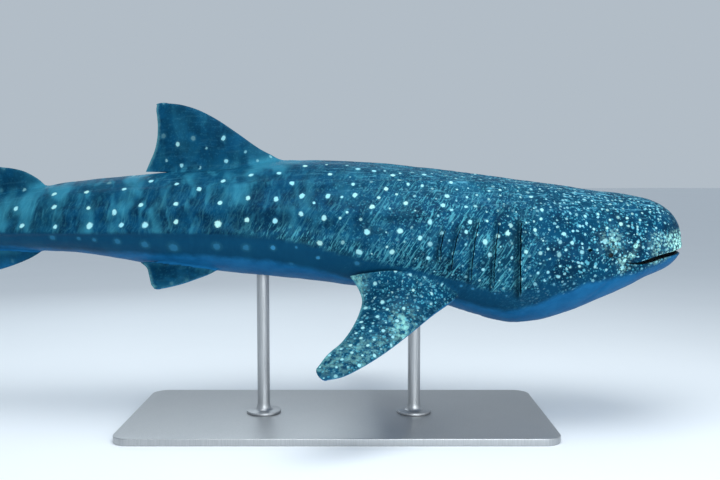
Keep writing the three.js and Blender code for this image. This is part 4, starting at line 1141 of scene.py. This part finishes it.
    # mouth lining, and painted shade inside the slits, the eye socket, the spiracle and the nostril
    colour = m.mix(inside, colour, (0.010, 0.060, 0.105))
    colour = m.mix(recess_shade, colour, (0.0015, 0.016, 0.030))
    m.feed(m.bsdf.inputs["Base Color"], colour)
    rough = m.math("MULTIPLY_ADD", fine, 0.22, m.math("MULTIPLY_ADD", mid, 0.12, 0.40))
    m.feed(m.bsdf.inputs["Roughness"], m.math("ADD", rough, m.math("MULTIPLY", spot, 0.06)))
    m.bsdf.inputs["Coat Weight"].default_value = 0.02
    m.bsdf.inputs["Specular IOR Level"].default_value = 0.06
    m.bsdf.inputs["Specular Tint"].default_value = (0.25, 0.72, 1.0, 1)
    m.bsdf.inputs["Coat Roughness"].default_value = 0.28
    grain = m.noise(place3, 260.0, 2, 0.6)
    height = m.math("ADD", m.math("MULTIPLY", fine, 1.0), m.math("ADD", m.math("MULTIPLY", grain, 0.25), m.math("MULTIPLY", spot, 0.18)))
    bump = m.node("ShaderNodeBump", {"Strength": 0.35, "Distance": 0.004, "Height": height}).outputs[0]
    m.feed(m.bsdf.inputs["Normal"], bump)
    return m.mat


def eye_material():
    m = Shader("eye")
    r = m.attr("ring")
    at = m.node("ShaderNodeTexCoord").outputs["Object"]
    streak = m.noise(at, 420.0, 3, 0.6)
    iris = m.mix(m.step(0.35, 0.7, streak), (0.002, 0.020, 0.034), (0.006, 0.052, 0.076))
    c = m.mix(m.step(0.30, 0.34, r), (0.002, 0.002, 0.003), iris)
    c = m.mix(m.step(0.60, 0.66, r), c, (0.003, 0.012, 0.018))
    c = m.mix(m.step(0.80, 0.92, r), c, (0.03, 0.09, 0.12))
    m.feed(m.bsdf.inputs["Base Color"], c)
    m.feed(m.bsdf.inputs["Roughness"], m.math("MULTIPLY_ADD", streak, 0.05, 0.07))
    m.bsdf.inputs["Specular IOR Level"].default_value = 0.15
    m.bsdf.inputs["Specular Tint"].default_value = (0.4, 0.8, 1.0, 1)
    m.bsdf.inputs["Coat Weight"].default_value = 0.15
    m.bsdf.inputs["Coat Roughness"].default_value = 0.04
    return m.mat


def steel_material():
    m = Shader("stand_steel")
    at = m.node("ShaderNodeTexCoord").outputs["Object"]
    brushed = m.noise(m.stretch(at, (260, 260, 4)), 1.0, 3, 0.6)
    cloud = m.noise(at, 2.2, 3, 0.5)
    c = m.mix(m.step(0.3, 0.75, brushed), (0.36, 0.37, 0.38), (0.52, 0.53, 0.54))
    c = m.mix(m.math("MULTIPLY", m.step(0.4, 0.7, cloud), 0.25), c, (0.40, 0.42, 0.44))
    m.feed(m.bsdf.inputs["Base Color"], c)
    m.bsdf.inputs["Metallic"].default_value = 0.9
    m.feed(m.bsdf.inputs["Roughness"], m.math("MULTIPLY_ADD", brushed, 0.2, m.math("MULTIPLY_ADD", cloud, 0.1, 0.26)))
    m.feed(m.bsdf.inputs["Normal"], m.node("ShaderNodeBump", {"Strength": 0.15, "Distance": 0.001, "Height": brushed}).outputs[0])
    return m.mat


def floor_material():
    m = Shader("floor")
    at = m.node("ShaderNodeTexCoord").outputs["Object"]
    n = m.noise(at, 0.8, 4, 0.5)
    m.feed(m.bsdf.inputs["Base Color"], m.mix(n, (0.80, 0.83, 0.86), (0.83, 0.86, 0.89)))
    m.bsdf.inputs["Roughness"].default_value = 0.9
    return m.mat


# ------------------------------------------------------------------ build
skin = build_skin()
facts = mark(skin)
unwrap(skin, *facts)
_s, _y, _z = facts[1], facts[2], facts[3]
muzzle = (0.34 * (1 - smoothstep(320, 420, _s)) + 0.38 * (1 - smoothstep(190, 290, _s)) + 1.0 * (1 - smoothstep(100, 210, _s))) * (1 - smoothstep(4, 74, _z + 26 * noise_field(_y, _z, 21, 120)))
muzzle = np.maximum(muzzle, 0.42 * np.exp(-((_s - 640) / 62) ** 2 - ((_z + 2) / 62) ** 2))                 # pale cheek patch
muzzle = np.maximum(muzzle, 1.2 * np.exp(-((_s - 574) / 26) ** 2 - ((_z + 190) / 24) ** 2))                 # pale fold behind the corner
fold = np.array([(592, -140), (556, -122), (524, -112), (500, -92), (484, -68), (474, -38)], float)     # pale curved ridge above the corner
for _a, _b in zip(fold[:-1], fold[1:]):
    _t = np.clip(((_s - _a[0]) * (_b[0] - _a[0]) + (_z - _a[1]) * (_b[1] - _a[1])) / ((_b - _a) ** 2).sum(), 0, 1)
    muzzle = np.maximum(muzzle, np.exp(-(np.hypot(_s - _a[0] - _t * (_b[0] - _a[0]), _z - _a[1] - _t * (_b[1] - _a[1])) / 15) ** 2))
attribute(skin.data, "muzzle", muzzle * (facts[0] == 0))
attribute(skin.data, "pec", (facts[0] == 5) * 1.0)
_y = np.abs(_y)
cloud = 1.0 * np.exp(-((_s - 2050) / 80) ** 2 - ((_y - 745) / 85) ** 2)                # pale shoulder of the fin's front edge
cloud = np.maximum(cloud, 0.40 * smoothstep(760, 900, _y) * smoothstep(1120, 1000, _y))     # mottled end of the fin
cloud = np.maximum(cloud, 0.9 * np.exp(-((_s - 2350) / 60) ** 2 - ((_y - 440) / 60) ** 2))  # pale free rear corner
attribute(skin.data, "cloud", cloud * (facts[0] == 5))
skin.data.materials.clear()
skin.data.materials.append(skin_material())
skin.data.polygons.foreach_set("material_index", np.zeros(len(skin.data.polygons), np.int32))
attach(skin, "root")
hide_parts("head", "lower_jaw", "gill_region", "trunk", "tail_stock", "dorsal_fin_first", "dorsal_fin_second",
            "pectoral_fin_left", "pectoral_fin_right", "pelvic_fin_left", "pelvic_fin_right", "anal_fin",
            "tail_fin_upper_lobe", "tail_fin_lower_lobe")


def eyeball(name, side):
    """Eyeball with a bulged cornea, its axis turned a little forward."""
    y = flank(EYE_S, EYE_Z) + EYE_OUT - EYE_R
    axis = np.array([-0.18, side, 0.03])
    axis /= np.linalg.norm(axis)
    u = np.cross(axis, [0, 0, 1.0])
    u /= np.linalg.norm(u)
    w = np.cross(u, axis)
    rows, cols = 44, 64
    verts, ring, faces = [], [], []
    for j in range(rows + 1):
        a = math.pi * j / rows
        bulge = 1 + 0.035 * math.exp(-(a / 0.42) ** 2)
        for k in range(cols):
            b = 2 * math.pi * k / cols
            d = axis * math.cos(a) + (u * math.cos(b) + w * math.sin(b)) * math.sin(a)
            verts.append(np.array([EYE_S, side * y, EYE_Z]) + d * (EYE_R - 0.6) * bulge)
            ring.append(a / (math.pi / 2))
    for j in range(rows):
        for k in range(cols):
            faces.append((j * cols + k, j * cols + (k + 1) % cols, (j + 1) * cols + (k + 1) % cols, (j + 1) * cols + k))
    obj = new_object(name, place(np.array(verts)), faces)
    attribute(obj.data, "ring", np.array(ring))
    tidy(obj)
    obj.data.polygons.foreach_set("use_smooth", np.ones(len(obj.data.polygons), bool))
    return obj


eye_mat = eye_material()
for name, side in (("eye_left", 1), ("eye_right", -1)):
    e = eyeball(name + "_ball", side)
    e.data.materials.append(eye_mat)
    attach(e, "root")
    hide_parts(name)


def stand_plate():
    lo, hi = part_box("stand_base")
    cx, cy = (lo[0] + hi[0]) / 2, (lo[1] + hi[1]) / 2
    lx, ly, t, r, e = (hi[0] - lo[0]) / 2, (hi[1] - lo[1]) / 2, hi[2], 0.12, 0.006
    outline = []
    for qx, qy, a0 in ((1, 1, 0), (-1, 1, 90), (-1, -1, 180), (1, -1, 270)):
        for k in range(17):
            a = math.radians(a0 + 90 * k / 16)
            outline.append((qx * (lx - r), qy * (ly - r), math.cos(a), math.sin(a)))
    rings = [(0.004, 0.0), (0.0, 0.004)] + [(e * (1 - math.cos(math.radians(a))), t - e + e * math.sin(math.radians(a))) for a in (0, 22, 45, 68, 90)]
    verts, faces = [], []
    for inset, h in rings:
        for x, y, dx, dy in outline:
            verts.append((cx + x + dx * (r - inset), cy + y + dy * (r - inset), h))
    n = len(outline)
    for j in range(len(rings) - 1):
        faces += [(j * n + i, j * n + (i + 1) % n, (j + 1) * n + (i + 1) % n, (j + 1) * n + i) for i in range(n)]
    faces += [tuple(range(n))[::-1], tuple(range((len(rings) - 1) * n, len(rings) * n))]
    return new_object("stand_plate", verts, faces)


def stand_post(name, s):
    x, y = place(np.array([s, 0.0, 0.0]))[:2]
    y = SIDE_SET
    base, n = 0.0504, 72
    prof = [(0.125 - 0.004, 0), (0.125, 0.004), (0.125, 0.015), (0.124, 0.0172), (0.122, 0.018), (0.075, 0.0185), (0.066, 0.020),
            (0.0585, 0.026), (0.0525, 0.036), (0.0475, 0.052), (0.045, 0.072)]
    rings = []
    for rr, h in prof:
        rings.append([(x + rr * math.cos(2 * math.pi * k / n), y + rr * math.sin(2 * math.pi * k / n), base + h) for k in range(n)])
    top = []
    for k in range(n):
        a = 2 * math.pi * k / n
        sx, sy = s - 45 * math.cos(a), abs(45 * math.sin(a))
        lo_, hi_ = math.pi / 2, math.pi
        for _ in range(30):
            m_ = (lo_ + hi_) / 2
            if float(body_yz(sx, m_)[0]) > sy:
                lo_ = m_
            else:
                hi_ = m_
        top.append((x + 0.045 * math.cos(a), y + 0.045 * math.sin(a), (float(body_yz(sx, (lo_ + hi_) / 2)[1]) + FLOOR) / 1000 + 0.004))
    for f in (0.25, 0.5, 0.75):
        rings.append([(a[0], a[1], base + 0.072 + (b[2] - base - 0.072) * f) for a, b in zip(rings[len(prof) - 1], top)])
    rings.append(top)
    verts = [v for ring in rings for v in ring]
    faces = []
    for j in range(len(rings) - 1):
        faces += [(j * n + i, j * n + (i + 1) % n, (j + 1) * n + (i + 1) % n, (j + 1) * n + i) for i in range(n)]
    faces += [tuple(range(n))[::-1], tuple(range((len(rings) - 1) * n, len(rings) * n))]
    return new_object(name, verts, faces)


steel = steel_material()
for piece, node in ((stand_plate(), "stand_base"), (stand_post("stand_post_front", 1930.0), "stand_rod_front"),
                    (stand_post("stand_post_rear", 3030.0), "stand_rod_rear")):
    tidy(piece)
    piece.data.polygons.foreach_set("use_smooth", np.ones(len(piece.data.polygons), bool))
    piece.data.set_sharp_from_angle(angle=math.radians(40))
    piece.data.materials.append(steel)
    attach(piece, "root")
    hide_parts(node)

# ------------------------------------------------------------------ floor and light
ground = new_object("floor", [(-150, -150, 0), (150, -150, 0), (150, 150, 0), (-150, 150, 0)], [(0, 1, 2, 3)])
ground.data.materials.append(floor_material())
world = bpy.data.worlds.new("world")
bpy.context.scene.world = world
world.use_nodes = True
world.node_tree.nodes["Background"].inputs[0].default_value = (0.72, 0.82, 0.92, 1)
world.node_tree.nodes["Background"].inputs[1].default_value = 0.62


def lamp(name, at, to, size, power, colour):
    light = bpy.data.lights.new(name, "AREA")
    light.shape, light.size, light.size_y, light.energy, light.color = "RECTANGLE", size[0], size[1], power, colour
    obj = bpy.data.objects.new(name, light)
    bpy.context.collection.objects.link(obj)
    obj.location = at
    obj.rotation_euler = (Vector(to) - Vector(at)).to_track_quat("-Z", "Y").to_euler()


lamp("key", (1.5, -2.2, 6.5), (0.2, 0, 1.4), (7.0, 3.5), 330, (0.95, 0.99, 1.0))
lamp("front", (3.2, -8.5, 3.2), (0.3, 0, 1.4), (6.0, 3.0), 420, (0.93, 0.98, 1.0))
lamp("snout", (7.2, -4.2, 2.3), (3.1, 0, 1.25), (2.0, 2.0), 45, (0.95, 0.99, 1.0))
lamp("rim", (-2.0, 5.5, 4.5), (0, 0, 1.5), (7.0, 2.5), 90, (0.85, 0.95, 1.0))

bpy.context.view_layer.update()
